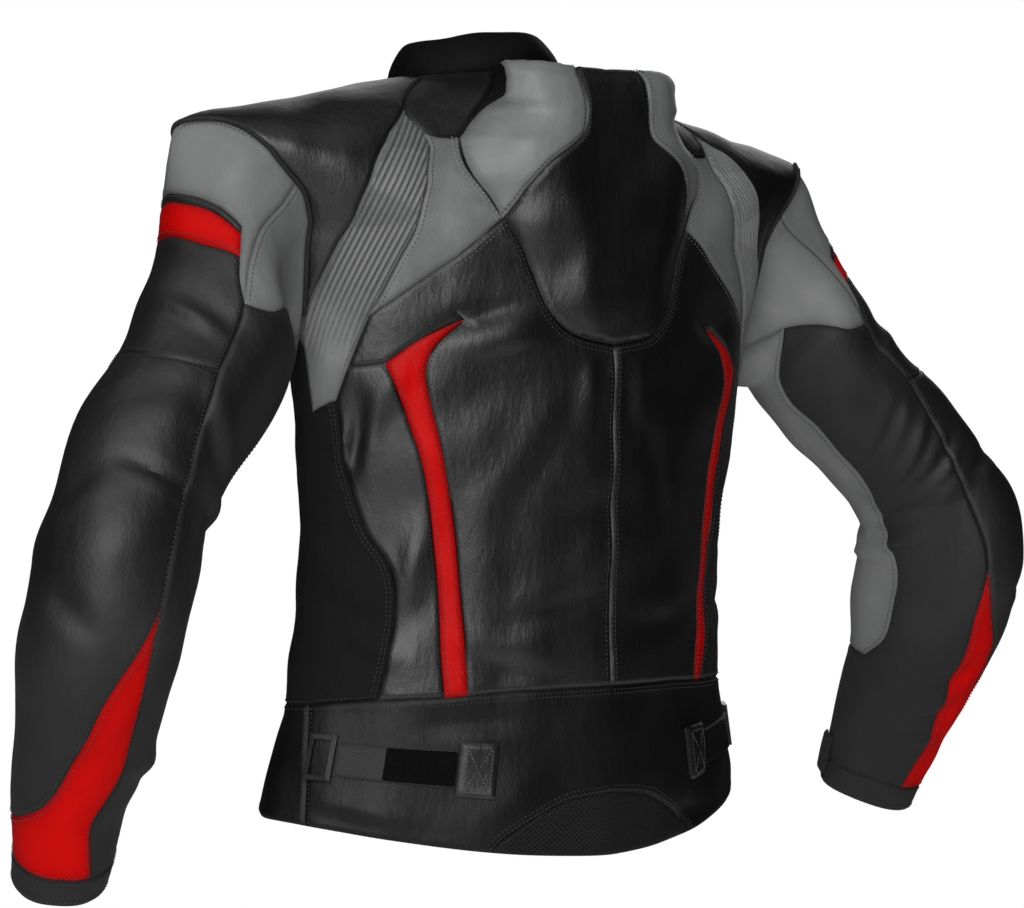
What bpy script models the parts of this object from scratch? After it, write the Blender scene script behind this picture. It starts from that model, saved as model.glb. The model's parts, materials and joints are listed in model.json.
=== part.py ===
"""A leather motorcycle racing jacket, empty and filled out as if it were worn.

Metres, +Z up. +X is the wearer's left, +Y the wearer's back. The origin is the
middle of the neck opening, at the height of the collar seam.

Three surfaces carry every panel:
  torso   turn (degrees round from the centre back, left is plus), drop (metres
          below the collar seam, measured down the back)
  sleeve  round (degrees, 0 outside, 90 back, 180 inside), along (metres from
          the armhole)
  collar  turn, rise (metres above the collar seam)
A panel is the area inside a loop of named seams on one surface. Its outer face
follows the surface and its inner face lies one wall below. The left half is
drawn in the tables, and the right half mirrors it.
"""

import math

import bmesh
import bpy
import numpy as np
from mathutils import Matrix, Vector
from mathutils.geometry import delaunay_2d_cdt

LEATHER = 0.0020
STRETCH = 0.0024
ELASTIC = 0.0030
SEAM_GAP = 0.0003
MOST_MITRE = 3.0
PANEL_STEP = 0.027
HUMP_STEP = 0.020
STRIP_STEP = 0.007
TINY = 1e-9

# ---------------------------------------------------------------- the sizes

TORSO_RINGS = (
    # drop, half width, centre y, depth behind, depth in front, height back, side, front, squareness
    (0.000, 0.078, -0.020, 0.070, 0.072, -0.004, -0.010, -0.050, 2.0),
    (0.045, 0.134, -0.004, 0.096, 0.082, -0.026, -0.020, -0.082, 2.0),
    (0.100, 0.232, 0.016, 0.112, 0.096, -0.070, -0.043, -0.118, 1.9),
    (0.145, 0.325, 0.028, 0.116, 0.108, -0.115, -0.069, -0.150, 1.8),
    (0.200, 0.265, 0.039, 0.120, 0.122, -0.172, -0.140, -0.195, 1.7),
    (0.290, 0.227, 0.049, 0.116, 0.136, -0.262, -0.256, -0.275, 1.65),
    (0.430, 0.209, 0.035, 0.126, 0.134, -0.405, -0.405, -0.405, 1.65),
    (0.540, 0.217, 0.030, 0.1295, 0.1335, -0.514, -0.508, -0.495, 1.62),
    (0.672, 0.237, 0.022, 0.137, 0.139, -0.642, -0.608, -0.590, 1.7),
)
HEM = 0.672

SLEEVE_RINGS = (
    # along, centre x, y, z, half width across, half depth front to back, skew
    (0.000, 0.248, 0.022, -0.090, 0.066, 0.074, 0.002),
    (0.075, 0.271, 0.039, -0.152, 0.062, 0.065, 0.001),
    (0.180, 0.324, 0.070, -0.249, 0.063, 0.065, 0.000),
    (0.300, 0.402, 0.103, -0.340, 0.059, 0.061, 0.003),
    (0.370, 0.426, 0.110, -0.403, 0.065, 0.066, 0.007),
    (0.425, 0.432, 0.098, -0.456, 0.065, 0.065, 0.007),
    (0.490, 0.430, 0.075, -0.518, 0.055, 0.056, 0.004),
    (0.555, 0.428, 0.048, -0.572, 0.047, 0.048, 0.004),
    (0.632, 0.423, 0.022, -0.638, 0.038, 0.040, 0.004),
)
CUFF = 0.632
CUFF_SEAM = 0.606
SLEEVE_BLEND = 0.13
ARMPIT_FAN = 0.11
ARMPIT_FADE = 0.32
RING_REACH = 0.004
NORMAL_TURN, NORMAL_DROP = 0.4, 0.0012
LEAVES_OUTSIDE, LEAVES_INSIDE = (0.32, 0.04, -0.62), (0.62, 0.05, -0.55)

ARMHOLE_STEP = 15
ARMHOLE_PLACES = (
    # round, turn, drop: square behind the shoulder and low in front
    (0, 93.0, 0.147), (15, 84.5, 0.139), (30, 74.0, 0.1345), (45, 65.0, 0.139), (60, 60.0, 0.155),
    (75, 60.0, 0.173), (90, 63.5, 0.191), (105, 68.5, 0.212), (120, 73.5, 0.235), (135, 78.0, 0.254),
    (150, 83.0, 0.269), (165, 89.0, 0.281), (180, 96.0, 0.287), (195, 104.0, 0.2855), (210, 112.0, 0.277),
    (225, 117.9, 0.263), (240, 121.7, 0.247), (255, 123.8, 0.228), (270, 124.0, 0.208), (285, 122.3, 0.192),
    (300, 118.7, 0.178), (315, 113.7, 0.1656), (330, 106.5, 0.157), (345, 100.0, 0.152),
)

COLLAR_RINGS = (
    # rise, half width, centre y, depth behind, depth in front, height back, side, front
    (0.000, 0.078, -0.020, 0.070, 0.072, -0.004, -0.010, -0.050),
    (0.012, 0.0755, -0.021, 0.0695, 0.071, 0.008, 0.001, -0.039),
    (0.024, 0.0700, -0.024, 0.066, 0.068, 0.020, 0.013, -0.027),
    (0.036, 0.062, -0.028, 0.060, 0.062, 0.032, 0.024, -0.016),
)
COLLAR_TOP = 0.036

HUMP_RIDGE = (
    # drop, half turn at its foot, thickness of the foam on the centre line, how far its sides lean out,
    # share of the thickness that its free edge keeps
    (0.008, 26.0, 0.095, 0.63, 0.73),
    (0.030, 26.0, 0.081, 0.60, 0.70),
    (0.052, 27.5, 0.068, 0.43, 0.61),
    (0.067, 28.3, 0.0595, 0.25, 0.55),
    (0.086, 29.5, 0.048, 0.10, 0.04),
    (0.096, 29.8, 0.043, 0.04, 0.00),
    (0.112, 29.5, 0.038, 0.00, 0.00),
    (0.134, 24.5, 0.031, 0.00, 0.00),
    (0.152, 22.0, 0.026, 0.00, 0.00),
    (0.170, 21.5, 0.0205, 0.00, 0.00),
    (0.208, 20.6, 0.0125, 0.00, 0.00),
    (0.238, 18.0, 0.0085, 0.00, 0.00),
    (0.256, 12.0, 0.004, 0.00, 0.00),
    (0.262, 7.0, 0.000, 0.00, 0.00),
)
HUMP_FLAT, HUMP_FALL = 0.45, 1.6
HUMP_TOP = 0.016
HUMP_COLUMNS = (-0.93, -0.80, -0.64, -0.45, -0.15, 0.15, 0.45, 0.64, 0.80, 0.93)
HUMP_CLEAR = 0.0035
HUMP_LEVELS = 0.020

RIBS = 9
RIB_SPACING = 0.0050
RIB_HEIGHT = 0.0020
RIB_STEP = 0.020
RIB_CLEAR = 0.0016
RIB_FADE, RIB_END = 0.235, 0.285

LAID_GAP = 0.0012
WEBBING = 0.0020
STRAP_STEP = 0.014
STRAP_WIDTH = 0.033
STRAP_INNER, STRAP_OUTER = 39.5, 67.5
ADJUSTER_DROP = 0.602
BOX_INNER, BOX_OUTER = 30.5, 38.8
BOX_HEIGHT = 0.048
RING_TURN = 71.8
RING_WIDTH, RING_HEIGHT, RING_BAR, RING_THICK = 0.026, 0.046, 0.0045, 0.0035

TAB_ROUND, TAB_HALF_ROUND = 214, 14
TAB_START, TAB_END = 0.582, 0.622

SLIDER_DROP, SLIDER_LENGTH, SLIDER_WIDTH, SLIDER_THICK = 0.020, 0.016, 0.010, 0.0040
SLIDER_CLEAR = 0.0012
EAR_APART, EAR_THICK, EAR_HALF = 0.0074, 0.0012, 0.0016
PIN_STANDS, PIN_RADIUS, PIN_PLAY = 0.0024, 0.0007, 0.0004
TAB_WIDTH, TAB_THICK, TAB_LENGTH, EYE_RADIUS = 0.0052, 0.0016, 0.034, 0.0019

# ------------------------------------------------- seams of the left half
# turn and drop of the points that each seam runs through

ARMHOLE_FRONT, ARMHOLE_BACK, ARMHOLE_PIT, ARMHOLE_SIDE = -30, 135, 150, 195

NECK_CORNER = (62, 0.0)
RIB_TIP = (47, 0.088)
HUMP_CORNER = (26, 0.008)
STRIP_TOP = (8, 0.014)
YOKE_CORNER, YOKE_TOP = (36.5, 0.1115), (29.5, 0.109)
SHIELD_CORNER = (21.5, 0.170)
HUMP_FOOT = (0, 0.262)
YOKE_FOOT = (58, 0.252)
SLANT_TOP = (67, 0.287)
RIB_FOOT = (72.5, 0.310)
PIT_FOOT = (83, 0.318)
STRIPE_CORNER = (56.5, 0.283)
STRIPE_TIP = (36.5, 0.249)
WAIST_MIDDLE, WAIST_IN, WAIST_OUT = (0, 0.532), (38, 0.538), (43, 0.540)
WAIST_SIDE, WAIST_SPLIT, WAIST_FORE = (58.5, 0.544), (80, 0.552), (108, 0.556)
ZIP_TOP, ZIP_END = (171, 0.0), (178, 0.0)
WAIST_ZIP = (177.5, 0.545)
HEM_ZIP = (177.7, HEM)
HEM_SPLIT = (73, HEM)
MESH_CORNER = (30, HEM)
FRONT_NECK = (125, 0.0)

TORSO_SEAMS = {
    "collar_back": ((0, 0.0), (31, 0.0), NECK_CORNER),
    "collar_side": (NECK_CORNER, (94, 0.0), FRONT_NECK),
    "collar_front": (FRONT_NECK, (150, 0.0), ZIP_TOP),
    "collar_zip": (ZIP_TOP, ZIP_END),
    "collar_end": (ZIP_END, (180, 0.0)),
    "neck_side": (NECK_CORNER, (58, 0.040), (51.5, 0.072), RIB_TIP),
    "neck_rib": (RIB_TIP, (42, 0.101), YOKE_CORNER),
    "neck_low": (YOKE_CORNER, (33, 0.112), YOKE_TOP),
    "neck_middle": ((0, 0.0), (0, HUMP_TOP)),
    "hump_brow": ((0, HUMP_TOP), STRIP_TOP),
    "hump_shoulder": (STRIP_TOP, HUMP_CORNER),
    "hump_upper": (HUMP_CORNER, (26, 0.030), (27.5, 0.052), (28.3, 0.067), (29.5, 0.086), YOKE_TOP),
    "hump_middle": (YOKE_TOP, (24.5, 0.134), (22, 0.152), SHIELD_CORNER),
    "hump_lower": (SHIELD_CORNER, (20.8, 0.196), (19.5, 0.222), (17.5, 0.241), (12.5, 0.255), HUMP_FOOT),
    "strip_edge": (
        STRIP_TOP, (8.6, 0.030), (9.4, 0.064), (9.4, 0.088), (10, 0.099), (12, 0.108), (14.6, 0.121),
        (16.4, 0.138), (18.8, 0.156), SHIELD_CORNER,
    ),
    "rib_inner": (
        YOKE_CORNER, (32.5, 0.123), (31, 0.138), (32, 0.154), (37, 0.176), (42.5, 0.196), (52.5, 0.234), YOKE_FOOT,
    ),
    "rib_low": (YOKE_FOOT, (62.5, 0.269), SLANT_TOP),
    "rib_lowest": (SLANT_TOP, RIB_FOOT),
    "rib_bottom": (RIB_FOOT, PIT_FOOT),
    "yoke_low": (SHIELD_CORNER, (26.5, 0.183), (37, 0.210), (50.5, 0.239), YOKE_FOOT),
    "slant": (SLANT_TOP, STRIPE_CORNER),
    "stripe_top": (STRIPE_CORNER, (47.5, 0.266), STRIPE_TIP),
    "stripe_in": (
        STRIPE_TIP, (41, 0.260), (45, 0.272), (47.3, 0.288), (47, 0.306), (45.6, 0.332), (44, 0.366), (42.5, 0.404),
        (41, 0.452), (39.5, 0.492), WAIST_IN,
    ),
    "stripe_out": (
        STRIPE_CORNER, (54, 0.304), (52.3, 0.324), (50.3, 0.344), (48.5, 0.374), (47, 0.416), (45.5, 0.460),
        (44.5, 0.500), WAIST_OUT,
    ),
    "side_back": (
        RIB_FOOT, (70.5, 0.360), (65, 0.404), (59, 0.428), (56.5, 0.452), (56.5, 0.492), WAIST_SIDE,
    ),
    "middle": (HUMP_FOOT, (0, 0.400), WAIST_MIDDLE),
    "waist_middle": (WAIST_MIDDLE, (23.5, 0.534), WAIST_IN),
    "waist_stripe": (WAIST_IN, WAIST_OUT),
    "waist_side": (WAIST_OUT, WAIST_SIDE),
    "waist_stretch": (WAIST_SIDE, WAIST_SPLIT),
    "waist_fore": (WAIST_SPLIT, WAIST_FORE),
    "waist_front": (WAIST_FORE, (140, 0.551), WAIST_ZIP),
    "waist_split": (WAIST_SPLIT, HEM_SPLIT),
    "zip_upper": (
        ZIP_TOP, (175.4, 0.045), (178, 0.100), (178.7, 0.145), (178.5, 0.200), (178, 0.290), (177.4, 0.430), WAIST_ZIP,
    ),
    "zip_lower": (WAIST_ZIP, HEM_ZIP),
    "zip_middle": ((180, 0.0), (180, 0.3), (180, HEM)),
    "hem_zip": (HEM_ZIP, (180, HEM)),
    "hem_front": (HEM_SPLIT, (128, HEM), HEM_ZIP),
    "hem_back": (MESH_CORNER, (51, HEM), HEM_SPLIT),
    "hem_mesh": ((0, HEM), MESH_CORNER),
    "mesh_arc": ((0, 0.620), (13, 0.626), (21, 0.641), (27, 0.658), MESH_CORNER),
}

# round and along of the points that each seam of the left sleeve runs through
FRONT_SEAM = -75
INSIDE_SEAM = FRONT_SEAM + 360
CAP_CORNER, BAND_CORNER, RED_CORNER, GUSSET_CORNER = (64.5, 0.085), (65, 0.0925), (67, 0.113), (80, 0.148)
ARM_CORNER = (88, 0.221)
WEDGE_TIP = (98, 0.384)
INNER_TOP = (126, 0.052)
INNER_FOOT = (185, 0.482)
CUFF_CORNER = (97, CUFF_SEAM)

SLEEVE_SEAMS = {
    "cap_back": ((75, 0.0), (77, 0.038), (76, 0.080), (75, 0.116), (77.5, 0.135), GUSSET_CORNER),
    "cap_low": ((FRONT_SEAM, 0.056), (-15, 0.066), (17, 0.078), (42, 0.083), CAP_CORNER),
    "band_back": (CAP_CORNER, BAND_CORNER),
    "band_low": ((FRONT_SEAM, 0.064), (-15, 0.074), (17, 0.086), (42, 0.090), BAND_CORNER),
    "red_back": (BAND_CORNER, RED_CORNER),
    "red_low": ((FRONT_SEAM, 0.088), (-20, 0.100), (14, 0.112), (40, 0.116), RED_CORNER),
    "arm_back": (RED_CORNER, (71, 0.131), GUSSET_CORNER),
    "gusset_low": (GUSSET_CORNER, (90, 0.143), (103, 0.131), (116, 0.100), INNER_TOP),
    "gusset_pit": (INNER_TOP, (138, 0.024), (150, 0.0)),
    "under_top": (GUSSET_CORNER, (83, 0.178), ARM_CORNER),
    "arm_low": ((FRONT_SEAM, 0.222), (0, 0.226), (38, 0.235), (66, 0.232), ARM_CORNER),
    "under_arm": (ARM_CORNER, (97, 0.262), (101, 0.296), (103, 0.348), WEDGE_TIP),
    "wedge_in": (
        WEDGE_TIP, (87, 0.417), (70, 0.449), (55, 0.490), (37, 0.536), (8, 0.560), (-22, 0.572), (FRONT_SEAM, 0.578),
    ),
    "wedge_out": (
        WEDGE_TIP, (102, 0.418), (100, 0.454), (99, 0.490), (95, 0.524), (87, 0.552), (91, 0.580), CUFF_CORNER,
    ),
    "inner_back": (
        INNER_TOP, (150, 0.070), (168, 0.098), (178, 0.135), (175, 0.180), (178, 0.228), (178.5, 0.270), (179, 0.318),
        (174, 0.352), (165, 0.384), (165, 0.418), (167.5, 0.458), INNER_FOOT,
    ),
    "inner_low": (INNER_FOOT, (235, 0.488), (INSIDE_SEAM, 0.490)),
    "cuff_out": ((FRONT_SEAM, CUFF_SEAM), (0, CUFF_SEAM), CUFF_CORNER),
    "cuff_in": (CUFF_CORNER, (180, CUFF_SEAM), (INSIDE_SEAM, CUFF_SEAM)),
    "cuff_end": ((FRONT_SEAM, CUFF), (0, CUFF), (90, CUFF), (180, CUFF), (INSIDE_SEAM, CUFF)),
    "cap_front": ((FRONT_SEAM, 0.0), (FRONT_SEAM, 0.056)),
    "band_front": ((FRONT_SEAM, 0.056), (FRONT_SEAM, 0.064)),
    "red_front": ((FRONT_SEAM, 0.064), (FRONT_SEAM, 0.088)),
    "arm_front": ((FRONT_SEAM, 0.088), (FRONT_SEAM, 0.222)),
    "elbow_front": ((FRONT_SEAM, 0.222), (FRONT_SEAM, 0.490)),
    "elbow_fore": ((FRONT_SEAM, 0.490), (FRONT_SEAM, 0.578)),
    "wedge_front": ((FRONT_SEAM, 0.578), (FRONT_SEAM, CUFF_SEAM)),
    "cuff_front": ((FRONT_SEAM, CUFF_SEAM), (FRONT_SEAM, CUFF)),
}

# The largest folds: where, which way they run (degrees from level), half length,
# half width and how far they push the leather out (minus is a trough).
TORSO_FOLDS = (
    # turn, drop, way, half length, half width, push
    (52, 0.430, 78, 0.060, 0.011, 0.004),
    (26, 0.340, 60, 0.070, 0.012, 0.003),
    (70, 0.470, -20, 0.050, 0.010, -0.004),
    (84, 0.420, -25, 0.060, 0.012, 0.004),
    (20, 0.470, 15, 0.060, 0.012, -0.003),
    (10, 0.300, 82, 0.040, 0.008, 0.003),
    (140, 0.300, 40, 0.070, 0.014, 0.004),
    (150, 0.420, -15, 0.070, 0.013, -0.004),
)
SLEEVE_FOLDS = (
    # round, along, way, half length, half width, push
    (60, 0.310, 5, 0.060, 0.010, -0.005),
    (150, 0.300, 12, 0.050, 0.011, 0.006),
    (190, 0.335, -6, 0.055, 0.010, -0.006),
    (215, 0.365, 8, 0.050, 0.010, 0.005),
    (120, 0.255, 30, 0.050, 0.011, 0.004),
    (250, 0.320, -10, 0.055, 0.012, -0.005),
    (140, 0.505, 15, 0.040, 0.010, 0.004),
    (60, 0.170, 10, 0.060, 0.012, -0.003),
)

# ---------------------------------------------------------- the three surfaces


class Curves:
    """A table whose rows are joined by smooth curves that never pass a row's value."""

    def __init__(self, rows):
        self.rows = np.array(rows, float)
        self.places = self.rows[:, 0]
        rise = np.diff(self.rows, axis=0) / np.diff(self.places)[:, None]
        before, after = rise[:-1], rise[1:]
        steady = before * after > 0
        total = np.where(steady, before + after, 1.0)
        inner = np.where(steady, 2 * before * after / total, 0.0)
        self.slopes = np.vstack((rise[:1], inner, rise[-1:]))

    def at(self, place):
        last = len(self.places) - 2
        k = min(max(int(np.searchsorted(self.places, place)) - 1, 0), last)
        span = self.places[k + 1] - self.places[k]
        t = (place - self.places[k]) / span
        if t < 0 or t > 1:
            end = k if t < 0 else k + 1
            return (self.rows[end] + self.slopes[end] * (place - self.places[end]))[1:]
        a, b = self.rows[k], self.rows[k + 1]
        from_a, to_b = self.slopes[k] * span, self.slopes[k + 1] * span
        ease = t * t * (3 - 2 * t)
        value = a + (b - a) * ease + from_a * t * (1 - t) ** 2 + to_b * t * t * (t - 1)
        return value[1:]


TORSO = Curves(TORSO_RINGS)
SLEEVE = Curves(SLEEVE_RINGS)
COLLAR = Curves(COLLAR_RINGS)
HUMP = Curves(HUMP_RIDGE)
WRAPPED = ARMHOLE_PLACES[-5:] + ARMHOLE_PLACES + ARMHOLE_PLACES[:5]
TURNS_ROUND = [-360] * 5 + [0] * len(ARMHOLE_PLACES) + [360] * 5
ARMHOLE = Curves([(place[0] + full, place[1], place[2]) for place, full in zip(WRAPPED, TURNS_ROUND)])


def powered(value, power):
    return math.copysign(abs(value) ** power, value)


def unit(vector):
    return vector / max(float(np.linalg.norm(vector)), TINY)


def ring_point(turn, width, middle, behind, before, back_z, side_z, front_z, square):
    sine, cosine = math.sin(math.radians(turn)), math.cos(math.radians(turn))
    depth, end_z = (behind, back_z) if cosine > 0 else (before, front_z)
    power = 2 / square
    return np.array((
        width * powered(sine, power),
        middle + depth * powered(cosine, power),
        side_z + (end_z - side_z) * cosine * cosine,
    ))


def torso_shape(turn, drop):
    return ring_point(turn, *TORSO.at(drop))


def collar_shape(turn, rise):
    return ring_point(turn, *COLLAR.at(rise), 2.0)


def armhole(round_degrees):
    """Turn and drop of the armhole's seam, starting at its top and going over the back."""
    turn, drop = ARMHOLE.at((round_degrees - ARMHOLE_FRONT) % 360 + ARMHOLE_FRONT)
    return float(turn), float(drop)


def arm_ring(round_degrees, along):
    x, y, z, across, deep, skew = SLEEVE.at(along)
    way = unit(SLEEVE.at(along + RING_REACH)[:3] - SLEEVE.at(along - RING_REACH)[:3])
    out = np.array((1.0, 0.0, 0.0))
    out = unit(out - way * float(out @ way))
    back = np.cross(way, out)
    back = back if back[1] > 0 else -back
    sine, cosine = math.sin(math.radians(round_degrees)), math.cos(math.radians(round_degrees))
    centre = np.array((x, y, z))
    return centre + out * (across * cosine + skew * sine) + back * (deep * sine + skew * cosine)


def sleeve_shape(round_degrees, along):
    """The rings fan out of the armpit, because the armhole leans against the arm."""
    inside_share = (1 - math.cos(math.radians(round_degrees))) / 2
    fan = ARMPIT_FAN * inside_share * max(0.0, 1 - along / ARMPIT_FADE) ** 2
    ring = arm_ring(round_degrees, along + fan)
    if along >= SLEEVE_BLEND:
        return ring
    share = along / SLEEVE_BLEND
    share = share * share * (3 - 2 * share)
    turned = min(2 * inside_share, 1.0)
    leaves = np.array(LEAVES_OUTSIDE) * (1 - turned) + np.array(LEAVES_INSIDE) * turned
    seam = torso_shape(*armhole(round_degrees)) + leaves * along
    return seam * (1 - share) + ring * share


def push_of(folds, place, scale):
    """How far the folds move the leather out at a place."""
    push = 0.0
    for first, second, way, half_length, half_width, height in folds:
        across = (place[0] - first) * scale
        down = place[1] - second
        cosine, sine = math.cos(math.radians(way)), math.sin(math.radians(way))
        length = (across * cosine + down * sine) / half_length
        width = (-across * sine + down * cosine) / half_width
        if abs(length) < 1 and abs(width) < 3:
            push += height * (1 - length * length) ** 2 * math.exp(-width * width)
    return push


class Surface:
    """A shape with its scale (metres in a degree), its folds and which way it faces."""

    def __init__(self, shape, scale, facing, folds):
        self.shape = shape
        self.scale = scale
        self.facing = facing
        self.folds = folds

    def normal(self, place):
        turn, far = place
        first = self.shape(turn + NORMAL_TURN, far) - self.shape(turn - NORMAL_TURN, far)
        second = self.shape(turn, far + NORMAL_DROP) - self.shape(turn, far - NORMAL_DROP)
        return unit(np.cross(first, second)) * self.facing

    def point(self, place):
        return self.shape(*place)


TORSO_SURFACE = Surface(torso_shape, 0.0031, 1, TORSO_FOLDS)
SLEEVE_SURFACE = Surface(sleeve_shape, 0.00112, -1, SLEEVE_FOLDS)
COLLAR_SURFACE = Surface(collar_shape, 0.0013, -1, ())


def armhole_normal(round_degrees):
    """At the armhole the sleeve and the body share one direction for their edges."""
    body = TORSO_SURFACE.normal(armhole(round_degrees))
    arm = SLEEVE_SURFACE.normal((round_degrees, RING_REACH))
    return unit(body + arm)


def collar_normal(turn):
    return unit(TORSO_SURFACE.normal((turn, 0.0)) + COLLAR_SURFACE.normal((turn, 0.0)))


# --------------------------------------------------------------- seams and loops


def smooth_through(points, scale, step):
    """Places along a smooth curve through the points, about one step apart."""
    flat = np.array([(p[0] * scale, p[1]) for p in points], float)
    ends = np.vstack((2 * flat[0] - flat[1], flat, 2 * flat[-1] - flat[-2]))
    dense = [flat[0]]
    per_span = 24
    for k in range(1, len(ends) - 2):
        before, start, end, after = ends[k - 1], ends[k], ends[k + 1], ends[k + 2]
        chord = float(np.linalg.norm(end - start))
        lean_in = (end - before) / max(float(np.linalg.norm(end - before)), TINY) * chord
        lean_out = (after - start) / max(float(np.linalg.norm(after - start)), TINY) * chord
        for i in range(1, per_span + 1):
            t = i / per_span
            ease = t * t * (3 - 2 * t)
            dense.append(
                start + (end - start) * ease + lean_in * t * (1 - t) ** 2 + lean_out * t * t * (t - 1)
            )
    dense = np.array(dense)
    walked = np.concatenate(([0.0], np.cumsum(np.linalg.norm(np.diff(dense, axis=0), axis=1))))
    count = max(1, round(walked[-1] / step))
    stops = np.linspace(0, walked[-1], count + 1)
    places = [
        (float(np.interp(s, walked, dense[:, 0])) / scale, float(np.interp(s, walked, dense[:, 1])))
        for s in stops
    ]
    places[0], places[-1] = tuple(points[0]), tuple(points[-1])
    return places


def seam_places(surface, name, step):
    """The seam's places, each with the direction of its edge where two surfaces meet."""
    seams = TORSO_SEAMS if surface is TORSO_SURFACE else SLEEVE_SEAMS
    shared = name.startswith("collar_")
    step = STRIP_STEP if name == "strip_edge" else step
    return [
        (place, collar_normal(place[0]) if shared else None)
        for place in smooth_through(seams[name], surface.scale, step)
    ]


def armhole_places(surface, first, last):
    rounds = range(first, last + 1, ARMHOLE_STEP)
    places = []
    for degrees in rounds:
        place = armhole(degrees) if surface is TORSO_SURFACE else (degrees, 0.0)
        places.append((place, armhole_normal(degrees)))
    return places


def mirrored(places):
    return [((-place[0], place[1]), None if n is None else n * np.array((-1, 1, 1))) for place, n in places]


def loop_of(surface, parts, step):
    """Joins seams into one closed loop of places.

    A minus turns a seam round, ~ mirrors it and + takes it once round the sleeve.
    """
    loop = []
    for part in parts:
        if isinstance(part, tuple):
            places = armhole_places(surface, *sorted(part))
            places = places if part[0] < part[1] else places[::-1]
        else:
            name = part.strip("-~+")
            places = seam_places(surface, name, step)
            if "+" in part:
                places = [((place[0] + 360, place[1]), n) for place, n in places]
            if "~" in part:
                places = mirrored(places)
            if "-" in part:
                places = places[::-1]
        if loop and loop[-1][1] is None and places[0][1] is not None:
            loop[-1] = places[0]
        loop += places if not loop else places[1:]
    if loop[-1][1] is not None and loop[0][1] is None:
        loop[0] = (loop[0][0], loop[-1][1])
    return loop[:-1]


# ------------------------------------------------------------------- the panels


def inside(point, outline):
    crossings = False
    x, y = point
    for (ax, ay), (bx, by) in zip(outline, np.roll(outline, -1, axis=0)):
        if (ay > y) != (by > y) and x < (bx - ax) * (y - ay) / (by - ay) + ax:
            crossings = not crossings
    return crossings


def clear_of(point, outline, distance):
    starts = outline
    ways = np.roll(outline, -1, axis=0) - outline
    offset = point - starts
    share = np.clip((offset * ways).sum(1) / np.maximum((ways * ways).sum(1), TINY), 0, 1)
    gaps = np.linalg.norm(offset - ways * share[:, None], axis=1)
    return bool(gaps.min() > distance)


def filling(outline, step):
    """Places on a staggered grid inside the outline, clear of its edge."""
    low, high = outline.min(0), outline.max(0)
    row_step = step * math.sqrt(3) / 2
    found = []
    rows = int((high[1] - low[1]) / row_step) + 1
    for row in range(1, rows):
        y = low[1] + row * row_step
        shift = step / 2 if row % 2 else 0.0
        for column in range(int((high[0] - low[0]) / step) + 2):
            point = np.array((low[0] + shift + column * step, y))
            if inside(point, outline) and clear_of(point, outline, step * 0.55):
                found.append(point)
    return found


def triangles_in(outline, inner, lines):
    """Triangles that fill the outline through the inner points and keep the lines as edges."""
    points = [Vector(p) for p in outline] + [Vector(p) for p in inner]
    edge = len(outline)
    made = delaunay_2d_cdt(points, lines, [list(range(edge))], 0, 1e-7, True)
    faces, originals = made[2], made[3]
    index = [original[0] if original else None for original in originals]
    if None in index or len(index) != len(points):
        raise ValueError("two seams of one panel cross or touch")
    turned = []
    for face in faces:
        a, b, c = (index[k] for k in face)
        flipped = (points[b] - points[a]).cross(points[c] - points[a]) < 0
        turned.append((a, c, b) if flipped else (a, b, c))
    sides = {}
    for number, (a, b, c) in enumerate(turned):
        sides.update({(a, b): number, (b, c): number, (c, a): number})
    border = [(k, (k + 1) % edge) for k in range(edge)]
    if area_of(outline) < 0:
        border = [(b, a) for a, b in border]
    walls = set(border) | {(b, a) for a, b in border}
    waiting = [sides[pair] for pair in border]
    kept = set()
    while waiting:
        number = waiting.pop()
        if number in kept:
            continue
        kept.add(number)
        a, b, c = turned[number]
        for pair in ((a, b), (b, c), (c, a)):
            if pair not in walls and (pair[1], pair[0]) in sides:
                waiting.append(sides[(pair[1], pair[0])])
    return [turned[number] for number in sorted(kept)]


def drawn_in(points, normals, sides, facing):
    """Moves each edge point half a seam gap into its panel."""
    moved = []
    count = len(points)
    for k in range(count):
        before = points[k] - points[k - 1]
        after = points[(k + 1) % count] - points[k]
        first = unit(np.cross(normals[k], before)) * sides * facing
        second = unit(np.cross(normals[k], after)) * sides * facing
        mitre = (first + second) / max(1 + float(first @ second), 2 / MOST_MITRE ** 2)
        moved.append(points[k] + mitre * (SEAM_GAP / 2))
    return moved


def area_of(outline):
    after = np.roll(outline, -1, axis=0)
    return 0.5 * float((outline[:, 0] * after[:, 1] - after[:, 0] * outline[:, 1]).sum())


def material(name, colour, roughness, metallic=0.0):
    found = bpy.data.materials.new(name)
    found.use_nodes = True
    shader = found.node_tree.nodes["Principled BSDF"]
    shader.inputs["Base Color"].default_value = (*colour, 1.0)
    shader.inputs["Roughness"].default_value = roughness
    shader.inputs["Metallic"].default_value = metallic
    return found


FINISHES = {
    "black": ((0.020, 0.020, 0.023), 0.45, 0.0),
    "grey": ((0.145, 0.145, 0.150), 0.45, 0.0),
    "red": ((0.700, 0.012, 0.008), 0.40, 0.0),
    "stretch": ((0.012, 0.012, 0.013), 0.85, 0.0),
    "mesh": ((0.050, 0.050, 0.052), 0.80, 0.0),
    "webbing": ((0.018, 0.018, 0.020), 0.70, 0.0),
    "buckle": ((0.015, 0.015, 0.017), 0.35, 0.0),
    "metal": ((0.300, 0.300, 0.310), 0.35, 0.9),
}


def finish(name, mesh, look):
    piece = bpy.data.objects.new(name, mesh)
    bpy.context.scene.collection.objects.link(piece)
    mesh.materials.append(material(name, *FINISHES[look]))
    return piece


def no_rise(_place):
    return np.zeros(3)


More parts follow.
